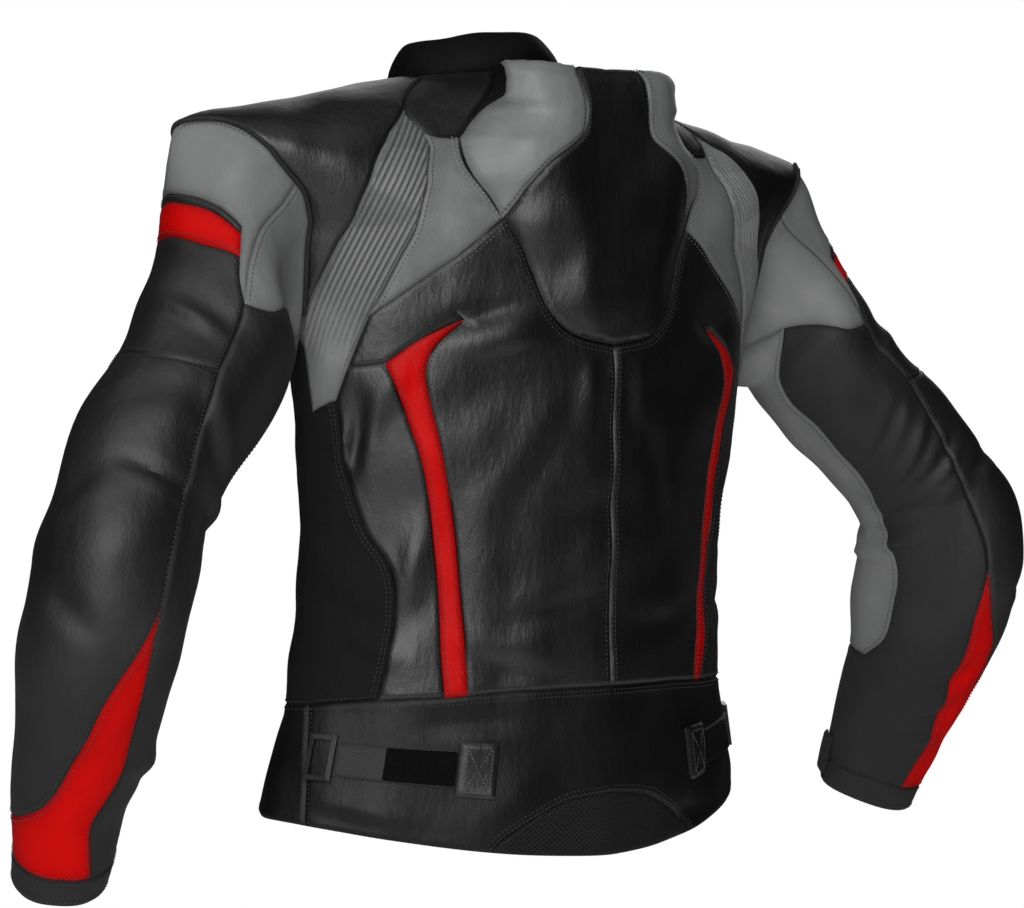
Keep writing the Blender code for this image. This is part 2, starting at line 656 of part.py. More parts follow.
def hump_rise(place):
    """How far the foam lifts a place: flat behind, with free edges above and run out below."""
    turn, drop = place
    half, ridge, lean, edge = HUMP.at(drop)
    side = min(max(turn / half, -1.0), 1.0)
    level = float(torso_shape(0, drop)[1] - torso_shape(turn, drop)[1])
    share = min(ridge / HUMP_LEVELS, 1.0)
    fall = max((abs(side) - HUMP_FLAT) / (1 - HUMP_FLAT), 0.0) ** HUMP_FALL
    rise = (ridge + level * share) * (1 - (1 - edge) * fall)
    return np.array((lean * side, 1.0, 0.0)) * max(float(rise), 0.0)


def hump_places(outline):
    """Rows across the hump, closer together towards its rounded sides."""
    scale = np.array((TORSO_SURFACE.scale, 1.0))
    points = []
    drop = HUMP_TOP + HUMP_STEP * 0.7
    while drop < HUMP_FOOT[1]:
        half = float(HUMP.at(drop)[0])
        for share in HUMP_COLUMNS:
            point = np.array((half * share, drop)) * scale
            if inside(point, outline) and clear_of(point, outline, HUMP_CLEAR):
                points.append(point)
        drop += HUMP_STEP
    return points, []


class Panel:
    """How one panel is filled and lifted."""

    def __init__(self, wall=LEATHER, step=PANEL_STEP, rise=no_rise, base=0.0, inner=None):
        self.wall = wall
        self.step = step
        self.rise = rise
        self.base = base
        self.inner = inner


def solid_from(surface, loop, panel, hand):
    """A closed mesh: outer face, inner face one wall below, and the edge between them."""
    scale = np.array((surface.scale, 1.0))
    outline = np.array([place for place, _ in loop]) * scale
    if panel.inner is None:
        inner, lines = filling(outline, panel.step), []
    else:
        inner, lines = panel.inner(outline)
    triangles = triangles_in(outline, inner, lines)
    places = [place for place, _ in loop] + [tuple(np.array(p) / scale) for p in inner]
    normals = [n for _, n in loop] + [None] * len(inner)
    normals = [surface.normal(p) if n is None else n for p, n in zip(places, normals)]
    points = []
    for place, normal in zip(places, normals):
        push = push_of(surface.folds, place, surface.scale)
        points.append(surface.point(place) + surface.normal(place) * push)
    edge = len(loop)
    sides = 1 if area_of(outline) > 0 else -1
    points[:edge] = drawn_in(points[:edge], normals[:edge], sides, surface.facing)

    mirror = np.array((hand, 1, 1))
    outer, lower = [], []
    for k, (point, normal) in enumerate(zip(points, normals)):
        outer.append((point + normal * panel.base + panel.rise(places[k])) * mirror)
        lower.append((point + normal * (panel.base - panel.wall)) * mirror)

    mesh = bpy.data.meshes.new("panel")
    built = bmesh.new()
    top = [built.verts.new(p) for p in outer]
    bottom = [built.verts.new(p) for p in lower]
    for a, b, c in triangles:
        built.faces.new((top[a], top[b], top[c]))
        built.faces.new((bottom[a], bottom[c], bottom[b]))
    for k in range(edge):
        after = (k + 1) % edge
        if (abs(places[k][0]), places[k][1]) < (abs(places[after][0]), places[after][1]):
            built.faces.new((top[k], top[after], bottom[k]))
            built.faces.new((top[after], bottom[after], bottom[k]))
        else:
            built.faces.new((top[k], top[after], bottom[after]))
            built.faces.new((top[k], bottom[after], bottom[k]))
    bmesh.ops.recalc_face_normals(built, faces=built.faces)
    if built.calc_volume(signed=True) < 0:
        bmesh.ops.reverse_faces(built, faces=built.faces)
    built.to_mesh(mesh)
    built.free()
    return mesh


class Ribs:
    """Ribs that run beside one edge of a panel, with a crest and a valley in each spacing."""

    def __init__(self, surface, edge):
        self.surface = surface
        self.scale = np.array((surface.scale, 1.0))
        points = np.array(edge) * self.scale
        walked = np.concatenate(([0.0], np.cumsum(np.linalg.norm(np.diff(points, axis=0), axis=1))))
        stops = np.linspace(0, walked[-1], round(walked[-1] / RIB_STEP) + 1)
        self.edge = np.stack([np.interp(stops, walked, points[:, k]) for k in (0, 1)], axis=1)
        ways = np.gradient(self.edge, axis=0)
        ways /= np.linalg.norm(ways, axis=1)[:, None]
        self.inward = np.stack((-ways[:, 1], ways[:, 0]), axis=1)
        self.heights = {}

    @staticmethod
    def key(place):
        return round(float(place[0]), 5), round(float(place[1]), 7)

    def inner(self, outline):
        first = len(outline)
        points, lines = [], []
        for number in range(2, 2 * RIBS + 2):
            before = None
            for point in self.edge + self.inward * (number * RIB_SPACING / 2):
                if not inside(point, outline) or not clear_of(point, outline, RIB_CLEAR):
                    before = None
                    continue
                at = first + len(points)
                if before is not None:
                    lines.append((before, at))
                before = at
                points.append(point)
                if number % 2:
                    fade = (RIB_END - point[1]) / (RIB_END - RIB_FADE)
                    self.heights[self.key(point / self.scale)] = RIB_HEIGHT * min(max(fade, 0.0), 1.0)
        return points, lines

    def rise(self, place):
        height = self.heights.get(self.key(place), 0.0)
        return self.surface.normal(place) * height


# ---------------------------------------------------- which seams bound which panel

TORSO_SEAMS.update({
    "shoulder_back": (
        RIB_TIP, (42.7, 0.112), (40, 0.135), (42.5, 0.160), (50, 0.182), (59, 0.206), (66, 0.225), armhole(ARMHOLE_BACK),
    ),
    "rib_pit": (armhole(ARMHOLE_PIT), PIT_FOOT),
    "side_fore": (armhole(ARMHOLE_SIDE), (113, 0.330), (111, 0.420), WAIST_FORE),
    "shoulder_front": (FRONT_NECK, (129, 0.060), (124, 0.115), armhole(ARMHOLE_FRONT)),
})

TORSO_PANELS = {
    # name: look, loop of seams
    "neck_panel": ("black", ("collar_back", "neck_side", "neck_rib", "neck_low", "-hump_upper",
                             "-hump_shoulder", "-hump_brow", "-neck_middle")),
    "shoulder": ("black", ("collar_side", "shoulder_front", (ARMHOLE_FRONT, ARMHOLE_BACK),
                           "-shoulder_back", "-neck_side")),
    "yoke": ("grey", ("neck_low", "hump_middle", "yoke_low", "-rib_inner")),
    "back_centre": ("black", ("-hump_lower", "yoke_low", "rib_low", "slant", "stripe_top", "stripe_in",
                              "-waist_middle", "-middle")),
    "stripe": ("red", ("stripe_top", "stripe_in", "waist_stripe", "-stripe_out")),
    "back_side": ("black", ("-slant", "rib_lowest", "side_back", "-waist_side", "-stripe_out")),
    "side_stretch": ("stretch", ("rib_bottom", "-rib_pit", (ARMHOLE_PIT, ARMHOLE_SIDE), "side_fore",
                                 "-waist_fore", "-waist_stretch", "-side_back")),
    "front": ("black", ("collar_front", "zip_upper", "-waist_front", "-side_fore",
                        (ARMHOLE_SIDE, 360 + ARMHOLE_FRONT), "-shoulder_front")),
    "waist_front": ("black", ("waist_fore", "waist_front", "zip_lower", "-hem_front", "-waist_split")),
    "zip_tape": ("webbing", ("collar_zip", "collar_end", "zip_middle", "-hem_zip", "-zip_lower", "-zip_upper")),
}

SLEEVE_PANELS = {
    "sleeve_cap": ("grey", ((FRONT_SEAM, 75), "cap_back", "-arm_back", "-red_back", "-band_back",
                            "-cap_low", "-cap_front")),
    "sleeve_gusset": ("grey", ((75, 150), "-gusset_pit", "-gusset_low", "-cap_back")),
    "arm_band_black": ("black", ("cap_low", "band_back", "-band_low", "-band_front")),
    "arm_band_red": ("red", ("band_low", "red_back", "-red_low", "-red_front")),
    "upper_arm": ("black", ("red_low", "arm_back", "under_top", "-arm_low", "-arm_front")),
    "elbow": ("black", ("arm_low", "under_arm", "wedge_in", "-elbow_fore", "-elbow_front")),
    "forearm_wedge": ("red", ("wedge_out", "-cuff_out", "-wedge_front", "-wedge_in")),
    "under_arm": ("black", ("gusset_low", "inner_back", "inner_low", "+elbow_fore", "+wedge_front",
                            "-cuff_in", "-wedge_out", "-under_arm", "-under_top")),
    "inner_arm": ("grey", ((150, INSIDE_SEAM), "+cap_front", "+band_front", "+red_front", "+arm_front",
                           "+elbow_front", "-inner_low", "-inner_back", "gusset_pit")),
    "cuff_band": ("black", ("cuff_out", "cuff_in", "+cuff_front", "-cuff_end", "-cuff_front")),
}

HANDS = (("left", 1), ("right", -1))


def both(name, look, surface, parts, panel):
    loop = loop_of(surface, parts, PANEL_STEP)
    for hand, sign in HANDS:
        finish(f"{name}_{hand}", solid_from(surface, loop, panel, sign), look)


def across(name, look, surface, parts, panel):
    """A panel that crosses the centre: its half loop, then the mirror of it."""
    loop = loop_of(surface, parts, PANEL_STEP)
    finish(name, solid_from(surface, loop, panel, 1), look)


def make_body():
    for name, (look, parts) in TORSO_PANELS.items():
        wall = STRETCH if look in ("stretch", "webbing") else LEATHER
        both(name, look, TORSO_SURFACE, parts, Panel(wall=wall))
    edge = [p for p, _ in loop_of(TORSO_SURFACE, ("shoulder_back", (ARMHOLE_BACK, ARMHOLE_PIT)), PANEL_STEP)]
    ribs = Ribs(TORSO_SURFACE, edge + [armhole(ARMHOLE_PIT)])
    parts = ("shoulder_back", (ARMHOLE_BACK, ARMHOLE_PIT), "rib_pit", "-rib_bottom", "-rib_lowest",
             "-rib_low", "-rib_inner", "-neck_rib")
    both("accordion", "grey", TORSO_SURFACE, parts, Panel(rise=ribs.rise, inner=ribs.inner))


def make_hump():
    foam = Panel(rise=hump_rise, inner=hump_places, step=HUMP_STEP)
    both("hump_flank", "grey", TORSO_SURFACE, ("hump_shoulder", "hump_upper", "hump_middle", "-strip_edge"), foam)
    parts = ("hump_brow", "strip_edge", "hump_lower", "-~hump_lower", "-~strip_edge", "-~hump_brow")
    across("hump_shield", "black", TORSO_SURFACE, parts, foam)


def make_waist():
    parts = ("waist_middle", "waist_stripe", "waist_side", "waist_stretch", "waist_split", "-hem_back",
             "-mesh_arc", "~mesh_arc", "~hem_back", "-~waist_split", "-~waist_stretch", "-~waist_side",
             "-~waist_stripe", "-~waist_middle")
    across("waist_back", "black", TORSO_SURFACE, parts, Panel())
    parts = ("mesh_arc", "-hem_mesh", "~hem_mesh", "-~mesh_arc")
    across("hem_mesh", "mesh", TORSO_SURFACE, parts, Panel(wall=ELASTIC))


def make_sleeves():
    for name, (look, parts) in SLEEVE_PANELS.items():
        both(name, look, SLEEVE_SURFACE, parts, Panel())


def plain_loop(surface, corners, step):
    """A loop of straight sides between corners, for what lies on a panel."""
    loop = []
    for start, end in zip(corners, corners[1:] + corners[:1]):
        length = math.hypot((end[0] - start[0]) * surface.scale, end[1] - start[1])
        count = max(1, round(length / step))
        for k in range(count):
            share = k / count
            place = (start[0] + (end[0] - start[0]) * share, start[1] + (end[1] - start[1]) * share)
            loop.append((place, None))
    return loop


def make_collar():
    seams = ("collar_back", "collar_side", "collar_front", "collar_zip")
    half = loop_of(TORSO_SURFACE, seams, PANEL_STEP) + [(ZIP_END, collar_normal(ZIP_END[0]))]
    seam = mirrored(half)[::-1][:-1] + half
    top = [((place[0], COLLAR_TOP), None) for place, _ in seam[::-1]]
    finish("collar", solid_from(COLLAR_SURFACE, seam + top, Panel(wall=ELASTIC), 1), "black")


def laid_on(name, look, surface, corners, panel):
    loop = plain_loop(surface, corners, panel.step)
    for hand, sign in HANDS:
        finish(f"{name}_{hand}", solid_from(surface, loop, panel, sign), look)


def make_adjusters():
    low, high = ADJUSTER_DROP - STRAP_WIDTH / 2, ADJUSTER_DROP + STRAP_WIDTH / 2
    corners = [(STRAP_INNER, low), (STRAP_OUTER, low), (STRAP_OUTER, high), (STRAP_INNER, high)]
    panel = Panel(wall=WEBBING, base=LAID_GAP + WEBBING, step=STRAP_STEP)
    laid_on("adjuster_strap", "webbing", TORSO_SURFACE, corners, panel)
    low, high = ADJUSTER_DROP - BOX_HEIGHT / 2, ADJUSTER_DROP + BOX_HEIGHT / 2
    corners = [(BOX_INNER, low), (BOX_OUTER, low), (BOX_OUTER, high), (BOX_INNER, high)]
    panel = Panel(base=LAID_GAP + LEATHER, step=STRAP_STEP)
    laid_on("adjuster_box", "black", TORSO_SURFACE, corners, panel)
    for hand, sign in HANDS:
        finish(f"adjuster_ring_{hand}", ring_mesh(sign), "buckle")


def ring_mesh(sign):
    """A rectangular ring: its four corners inside and out, swept through its thickness."""
    turn_half = RING_WIDTH / 2 / TORSO_SURFACE.scale
    bar = RING_BAR / TORSO_SURFACE.scale
    built = bmesh.new()
    mirror = np.array((sign, 1, 1))
    levels = []
    for height in (LAID_GAP, LAID_GAP + RING_THICK):
        for inset in (0.0, 1.0):
            corners = []
            for across_sign, down_sign in ((-1, -1), (1, -1), (1, 1), (-1, 1)):
                place = (
                    RING_TURN + across_sign * (turn_half - bar * inset),
                    ADJUSTER_DROP + down_sign * (RING_HEIGHT / 2 - RING_BAR * inset),
                )
                point = TORSO_SURFACE.point(place) + TORSO_SURFACE.normal(place) * height
                corners.append(built.verts.new(point * mirror))
            levels.append(corners)
    low_out, low_in, high_out, high_in = levels
    for k in range(4):
        after = (k + 1) % 4
        for first, second in ((low_in, low_out), (low_out, high_out), (high_out, high_in), (high_in, low_in)):
            built.faces.new((first[k], first[after], second[after], second[k]))
    bmesh.ops.recalc_face_normals(built, faces=built.faces)
    if built.calc_volume(signed=True) < 0:
        bmesh.ops.reverse_faces(built, faces=built.faces)
    mesh = bpy.data.meshes.new("ring")
    built.to_mesh(mesh)
    built.free()
    return mesh


def make_cuff_tabs():
    corners = [(TAB_ROUND - TAB_HALF_ROUND, TAB_START), (TAB_ROUND + TAB_HALF_ROUND, TAB_START),
               (TAB_ROUND + TAB_HALF_ROUND, TAB_END), (TAB_ROUND - TAB_HALF_ROUND, TAB_END)]
    panel = Panel(base=LAID_GAP + LEATHER, step=STRAP_STEP)
    laid_on("cuff_tab", "black", SLEEVE_SURFACE, corners, panel)


# --------------------------------------------------------------- the zip's slider


def block(size, centre, width_of_bevel):
    built = bmesh.new()
    bmesh.ops.create_cube(built, size=1.0)
    bmesh.ops.scale(built, vec=size, verts=built.verts)
    if width_of_bevel:
        bmesh.ops.bevel(built, geom=built.edges[:], offset=width_of_bevel, segments=2, profile=0.5, affect="EDGES")
    bmesh.ops.translate(built, vec=centre, verts=built.verts)
    return built


def rod(radius, length, centre, sides):
    built = bmesh.new()
    bmesh.ops.create_cone(built, cap_ends=True, segments=sides, radius1=radius, radius2=radius, depth=length)
    bmesh.ops.rotate(built, matrix=Matrix.Rotation(math.pi / 2, 3, "Y"), verts=built.verts)
    bmesh.ops.translate(built, vec=centre, verts=built.verts)
    return built


def as_object(name, built):
    mesh = bpy.data.meshes.new(name)
    built.to_mesh(mesh)
    built.free()
    made = bpy.data.objects.new(name, mesh)
    bpy.context.scene.collection.objects.link(made)
    return made


def combined(body, tools, operation):
    for tool in tools:
        tool.hide_render = True
        tool.display_type = "WIRE"
        cut = body.modifiers.new(tool.name, "BOOLEAN")
        cut.operation = operation
        cut.object = tool


def make_zip_pull():
    """The slider sits at the top of the closed zip, and its tab hangs from a pin between two ears."""
    top = TORSO_SURFACE.point((180, SLIDER_DROP))
    lower = TORSO_SURFACE.point((180, SLIDER_DROP + SLIDER_LENGTH))
    front = min(top[1], lower[1]) - SLIDER_CLEAR
    centre_z = (top[2] + lower[2]) / 2
    body_y = front - SLIDER_THICK / 2
    slider = as_object("zip_slider", block(
        (SLIDER_WIDTH, SLIDER_THICK, SLIDER_LENGTH), (0, body_y, centre_z), 0.0008))
    pin_y = front - SLIDER_THICK - PIN_STANDS
    pin_z = centre_z + SLIDER_LENGTH * 0.15
    ear_depth = PIN_STANDS + EAR_HALF + SLIDER_THICK / 2
    tools = []
    for side in (-1, 1):
        ear = block(
            (EAR_THICK, ear_depth, EAR_HALF * 2),
            (side * EAR_APART / 2, front - SLIDER_THICK / 2 - ear_depth / 2, pin_z), 0.0)
        tools.append(as_object(f"ear_{side + 1}", ear))
    tools.append(as_object("pin", rod(PIN_RADIUS, EAR_APART, (0, pin_y, pin_z), 16)))
    combined(slider, tools, "UNION")
    slider.data.materials.append(material("zip_slider", *FINISHES["metal"]))

    hinge = bpy.data.objects.new("tab_hinge", None)
    hinge.location = (0, pin_y, pin_z)
    bpy.context.scene.collection.objects.link(hinge)
    tab = as_object("zip_pull_tab", block(
        (TAB_WIDTH, TAB_THICK, TAB_LENGTH), (0, 0, EYE_RADIUS - TAB_LENGTH / 2), 0.0005))
    hole = as_object("tab_eye", rod(PIN_RADIUS + PIN_PLAY, TAB_WIDTH * 2, (0, 0, 0), 16))
    collar_round = as_object("tab_barrel", rod(EYE_RADIUS, TAB_WIDTH, (0, 0, 0), 20))
    combined(tab, [collar_round], "UNION")
    combined(tab, [hole], "DIFFERENCE")
    for child in (tab, hole, collar_round):
        child.parent = hinge
    tab.data.materials.append(material("zip_pull_tab", *FINISHES["metal"]))


def main():
    for old in list(bpy.data.objects):
        bpy.data.objects.remove(old, do_unlink=True)
    make_body()
    make_hump()
    make_waist()
    make_collar()
    make_sleeves()
    make_adjusters()
    make_cuff_tabs()
    make_zip_pull()


main()
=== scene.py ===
"""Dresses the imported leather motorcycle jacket: leather panels, stitching, zip and studio.

The panels lie on the same surfaces as the solids, and are cut along the same
seams: torso and hump (turn in degrees from the centre back, drop in metres),
sleeve (round in degrees, along in metres) and collar (turn, rise). Sizes are in
metres and angles in degrees, unless a line says otherwise.
"""

import json
import math

import bmesh
import bpy
import numpy as np
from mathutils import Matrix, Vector
from mathutils.geometry import delaunay_2d_cdt

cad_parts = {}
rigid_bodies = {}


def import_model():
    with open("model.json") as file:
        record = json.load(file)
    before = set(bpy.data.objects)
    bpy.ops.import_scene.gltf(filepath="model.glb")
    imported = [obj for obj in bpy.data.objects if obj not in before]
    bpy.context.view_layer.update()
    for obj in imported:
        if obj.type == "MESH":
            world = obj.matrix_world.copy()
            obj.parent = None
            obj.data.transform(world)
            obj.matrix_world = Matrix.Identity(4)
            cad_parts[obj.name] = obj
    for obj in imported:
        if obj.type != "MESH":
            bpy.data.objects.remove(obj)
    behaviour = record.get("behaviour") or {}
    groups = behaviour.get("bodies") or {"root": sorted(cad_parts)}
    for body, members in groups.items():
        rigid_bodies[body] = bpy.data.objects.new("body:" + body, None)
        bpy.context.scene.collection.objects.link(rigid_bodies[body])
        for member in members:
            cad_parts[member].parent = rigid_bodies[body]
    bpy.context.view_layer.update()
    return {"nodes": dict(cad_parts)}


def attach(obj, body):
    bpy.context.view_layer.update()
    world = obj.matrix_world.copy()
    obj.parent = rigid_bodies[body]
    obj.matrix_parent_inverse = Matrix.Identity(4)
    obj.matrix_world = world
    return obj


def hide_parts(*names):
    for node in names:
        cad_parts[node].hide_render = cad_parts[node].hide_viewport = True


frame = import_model()

# ------------------------------------------------------------ sizes of the solids

TORSO_RINGS = (
    # drop, half width, centre y, depth behind, depth in front, height back, side, front, squareness
    (0.000, 0.078, -0.020, 0.070, 0.072, -0.004, -0.010, -0.050, 2.0),
    (0.045, 0.134, -0.004, 0.096, 0.082, -0.026, -0.020, -0.082, 2.0),
    (0.100, 0.232, 0.016, 0.112, 0.096, -0.070, -0.043, -0.118, 1.9),
    (0.145, 0.325, 0.028, 0.116, 0.108, -0.115, -0.069, -0.150, 1.8),
    (0.200, 0.265, 0.039, 0.120, 0.122, -0.172, -0.140, -0.195, 1.7),
    (0.290, 0.227, 0.049, 0.116, 0.136, -0.262, -0.256, -0.275, 1.65),
    (0.430, 0.209, 0.035, 0.126, 0.134, -0.405, -0.405, -0.405, 1.65),
    (0.540, 0.217, 0.030, 0.1295, 0.1335, -0.514, -0.508, -0.495, 1.62),
    (0.672, 0.237, 0.022, 0.137, 0.139, -0.642, -0.608, -0.590, 1.7),
)
HEM = 0.672

SLEEVE_RINGS = (
    # along, centre x, y, z, half width across, half depth front to back, skew
    (0.000, 0.248, 0.022, -0.090, 0.066, 0.074, 0.002),
    (0.075, 0.271, 0.039, -0.152, 0.062, 0.065, 0.001),
    (0.180, 0.324, 0.070, -0.249, 0.063, 0.065, 0.000),
    (0.300, 0.402, 0.103, -0.340, 0.059, 0.061, 0.003),
    (0.370, 0.426, 0.110, -0.403, 0.065, 0.066, 0.007),
    (0.425, 0.432, 0.098, -0.456, 0.065, 0.065, 0.007),
    (0.490, 0.430, 0.075, -0.518, 0.055, 0.056, 0.004),
    (0.555, 0.428, 0.048, -0.572, 0.047, 0.048, 0.004),
    (0.632, 0.423, 0.022, -0.638, 0.038, 0.040, 0.004),
)
CUFF = 0.632
CUFF_SEAM = 0.606
SLEEVE_BLEND = 0.13
ARMPIT_FAN = 0.11
ARMPIT_FADE = 0.32
RING_REACH = 0.004
NORMAL_TURN, NORMAL_DROP = 0.4, 0.0012
TORSO_SCALE, SLEEVE_SCALE, COLLAR_SCALE = 0.0031, 0.00112, 0.0013
LEAVES_OUTSIDE, LEAVES_INSIDE = (0.32, 0.04, -0.62), (0.62, 0.05, -0.55)

ARMHOLE_PLACES = (
    # round, turn, drop: square behind the shoulder and low in front
    (0, 93.0, 0.147), (15, 84.5, 0.139), (30, 74.0, 0.1345), (45, 65.0, 0.139), (60, 60.0, 0.155),
    (75, 60.0, 0.173), (90, 63.5, 0.191), (105, 68.5, 0.212), (120, 73.5, 0.235), (135, 78.0, 0.254),
    (150, 83.0, 0.269), (165, 89.0, 0.281), (180, 96.0, 0.287), (195, 104.0, 0.2855), (210, 112.0, 0.277),
    (225, 117.9, 0.263), (240, 121.7, 0.247), (255, 123.8, 0.228), (270, 124.0, 0.208), (285, 122.3, 0.192),
    (300, 118.7, 0.178), (315, 113.7, 0.1656), (330, 106.5, 0.157), (345, 100.0, 0.152),
)

COLLAR_RINGS = (
    # rise, half width, centre y, depth behind, depth in front, height back, side, front
    (0.000, 0.078, -0.020, 0.070, 0.072, -0.004, -0.010, -0.050),
    (0.012, 0.0755, -0.021, 0.0695, 0.071, 0.008, 0.001, -0.039),
    (0.024, 0.0700, -0.024, 0.066, 0.068, 0.020, 0.013, -0.027),
    (0.036, 0.062, -0.028, 0.060, 0.062, 0.032, 0.024, -0.016),
)
COLLAR_TOP = 0.036

HUMP_RIDGE = (
    # drop, half turn at its foot, thickness of the foam on the centre line, how far its sides lean out,
    # share of the thickness that its free edge keeps
    (0.008, 26.0, 0.095, 0.63, 0.73),
    (0.030, 26.0, 0.081, 0.60, 0.70),
    (0.052, 27.5, 0.068, 0.43, 0.61),
    (0.067, 28.3, 0.0595, 0.25, 0.55),
    (0.086, 29.5, 0.048, 0.10, 0.04),
    (0.096, 29.8, 0.043, 0.04, 0.00),
    (0.112, 29.5, 0.038, 0.00, 0.00),
    (0.134, 24.5, 0.031, 0.00, 0.00),
    (0.152, 22.0, 0.026, 0.00, 0.00),
    (0.170, 21.5, 0.0205, 0.00, 0.00),
    (0.208, 20.6, 0.0125, 0.00, 0.00),
    (0.238, 18.0, 0.0085, 0.00, 0.00),
    (0.256, 12.0, 0.004, 0.00, 0.00),
    (0.262, 7.0, 0.000, 0.00, 0.00),
)
HUMP_FLAT, HUMP_FALL = 0.45, 1.6
HUMP_TOP = 0.016
HUMP_LEVELS = 0.020
BROW_ROUND, BROW_DRAW = 0.009, 0.07
EDGE_FROM, EDGE_OVER = 0.070, 0.03
RIB_FADE, RIB_END = 0.235, 0.285

LAID_GAP = 0.0012
WEBBING = 0.0020
STRAP_WIDTH = 0.033
STRAP_INNER, STRAP_OUTER = 39.5, 67.5
ADJUSTER_DROP = 0.602
BOX_INNER, BOX_OUTER = 30.5, 38.8
BOX_HEIGHT = 0.048

TAB_ROUND, TAB_HALF_ROUND = 214, 14
TAB_START, TAB_END = 0.582, 0.622

ARMHOLE_FRONT, ARMHOLE_BACK, ARMHOLE_PIT, ARMHOLE_SIDE = -30, 135, 150, 195

# turn and drop of the points that each seam of the left half of the torso runs through
NECK_CORNER = (62, 0.0)
RIB_TIP = (47, 0.088)
HUMP_CORNER = (26, 0.008)
STRIP_TOP = (8, 0.014)
YOKE_CORNER, YOKE_TOP = (36.5, 0.1115), (29.5, 0.109)
SHIELD_CORNER = (21.5, 0.170)
HUMP_FOOT = (0, 0.262)
YOKE_FOOT = (58, 0.252)
SLANT_TOP = (67, 0.287)
RIB_FOOT = (72.5, 0.310)
PIT_FOOT = (83, 0.318)
STRIPE_CORNER = (56.5, 0.283)
STRIPE_TIP = (36.5, 0.249)
WAIST_MIDDLE, WAIST_IN, WAIST_OUT = (0, 0.532), (38, 0.538), (43, 0.540)
WAIST_SIDE, WAIST_SPLIT, WAIST_FORE = (58.5, 0.544), (80, 0.552), (108, 0.556)
ZIP_TOP, ZIP_END = (171, 0.0), (178, 0.0)
WAIST_ZIP = (177.5, 0.545)
HEM_ZIP = (177.7, HEM)
HEM_SPLIT = (73, HEM)
MESH_CORNER = (30, HEM)
FRONT_NECK = (125, 0.0)

TORSO_SEAMS = {
    "collar_back": ((0, 0.0), (31, 0.0), NECK_CORNER),
    "collar_side": (NECK_CORNER, (94, 0.0), FRONT_NECK),
    "collar_front": (FRONT_NECK, (150, 0.0), ZIP_TOP),
    "collar_zip": (ZIP_TOP, ZIP_END),
    "collar_end": (ZIP_END, (180, 0.0)),
    "neck_side": (NECK_CORNER, (58, 0.040), (51.5, 0.072), RIB_TIP),
    "neck_rib": (RIB_TIP, (42, 0.101), YOKE_CORNER),
    "neck_low": (YOKE_CORNER, (33, 0.112), YOKE_TOP),
    "neck_middle": ((0, 0.0), (0, HUMP_TOP)),
    "hump_brow": ((0, HUMP_TOP), STRIP_TOP),
    "hump_shoulder": (STRIP_TOP, HUMP_CORNER),
    "hump_upper": (HUMP_CORNER, (26, 0.030), (27.5, 0.052), (28.3, 0.067), (29.5, 0.086), YOKE_TOP),
    "hump_middle": (YOKE_TOP, (24.5, 0.134), (22, 0.152), SHIELD_CORNER),
    "hump_lower": (SHIELD_CORNER, (20.8, 0.196), (19.5, 0.222), (17.5, 0.241), (12.5, 0.255), HUMP_FOOT),
    "strip_edge": (
        STRIP_TOP, (8.6, 0.030), (9.4, 0.064), (9.4, 0.088), (10, 0.099), (12, 0.108), (14.6, 0.121),
        (16.4, 0.138), (18.8, 0.156), SHIELD_CORNER,
    ),
    "rib_inner": (
        YOKE_CORNER, (32.5, 0.123), (31, 0.138), (32, 0.154), (37, 0.176), (42.5, 0.196),
        (52.5, 0.234), YOKE_FOOT,
    ),
    "rib_low": (YOKE_FOOT, (62.5, 0.269), SLANT_TOP),
    "rib_lowest": (SLANT_TOP, RIB_FOOT),
    "rib_bottom": (RIB_FOOT, PIT_FOOT),
    "yoke_low": (SHIELD_CORNER, (26.5, 0.183), (37, 0.210), (50.5, 0.239), YOKE_FOOT),
    "slant": (SLANT_TOP, STRIPE_CORNER),
    "stripe_top": (STRIPE_CORNER, (47.5, 0.266), STRIPE_TIP),
    "stripe_in": (
        STRIPE_TIP, (41, 0.260), (45, 0.272), (47.3, 0.288), (47, 0.306), (45.6, 0.332),
        (44, 0.366), (42.5, 0.404), (41, 0.452), (39.5, 0.492), WAIST_IN,
    ),
    "stripe_out": (
        STRIPE_CORNER, (54, 0.304), (52.3, 0.324), (50.3, 0.344), (48.5, 0.374), (47, 0.416), (45.5, 0.460),
        (44.5, 0.500), WAIST_OUT,
    ),
    "side_back": (
        RIB_FOOT, (70.5, 0.360), (65, 0.404), (59, 0.428), (56.5, 0.452), (56.5, 0.492), WAIST_SIDE,
    ),
    "middle": (HUMP_FOOT, (0, 0.400), WAIST_MIDDLE),
    "waist_middle": (WAIST_MIDDLE, (23.5, 0.534), WAIST_IN),
    "waist_stripe": (WAIST_IN, WAIST_OUT),
    "waist_side": (WAIST_OUT, WAIST_SIDE),
    "waist_stretch": (WAIST_SIDE, WAIST_SPLIT),
    "waist_fore": (WAIST_SPLIT, WAIST_FORE),
    "waist_front": (WAIST_FORE, (140, 0.551), WAIST_ZIP),
    "waist_split": (WAIST_SPLIT, HEM_SPLIT),
    "zip_upper": (
        ZIP_TOP, (175.4, 0.045), (178, 0.100), (178.7, 0.145), (178.5, 0.200), (178, 0.290),
        (177.4, 0.430), WAIST_ZIP,
    ),
    "zip_lower": (WAIST_ZIP, HEM_ZIP),
    "zip_middle": ((180, 0.0), (180, 0.3), (180, HEM)),
    "hem_zip": (HEM_ZIP, (180, HEM)),
    "hem_front": (HEM_SPLIT, (128, HEM), HEM_ZIP),
    "hem_back": (MESH_CORNER, (51, HEM), HEM_SPLIT),
    "hem_mesh": ((0, HEM), MESH_CORNER),
    "mesh_arc": ((0, 0.620), (13, 0.626), (21, 0.641), (27, 0.658), MESH_CORNER),
}

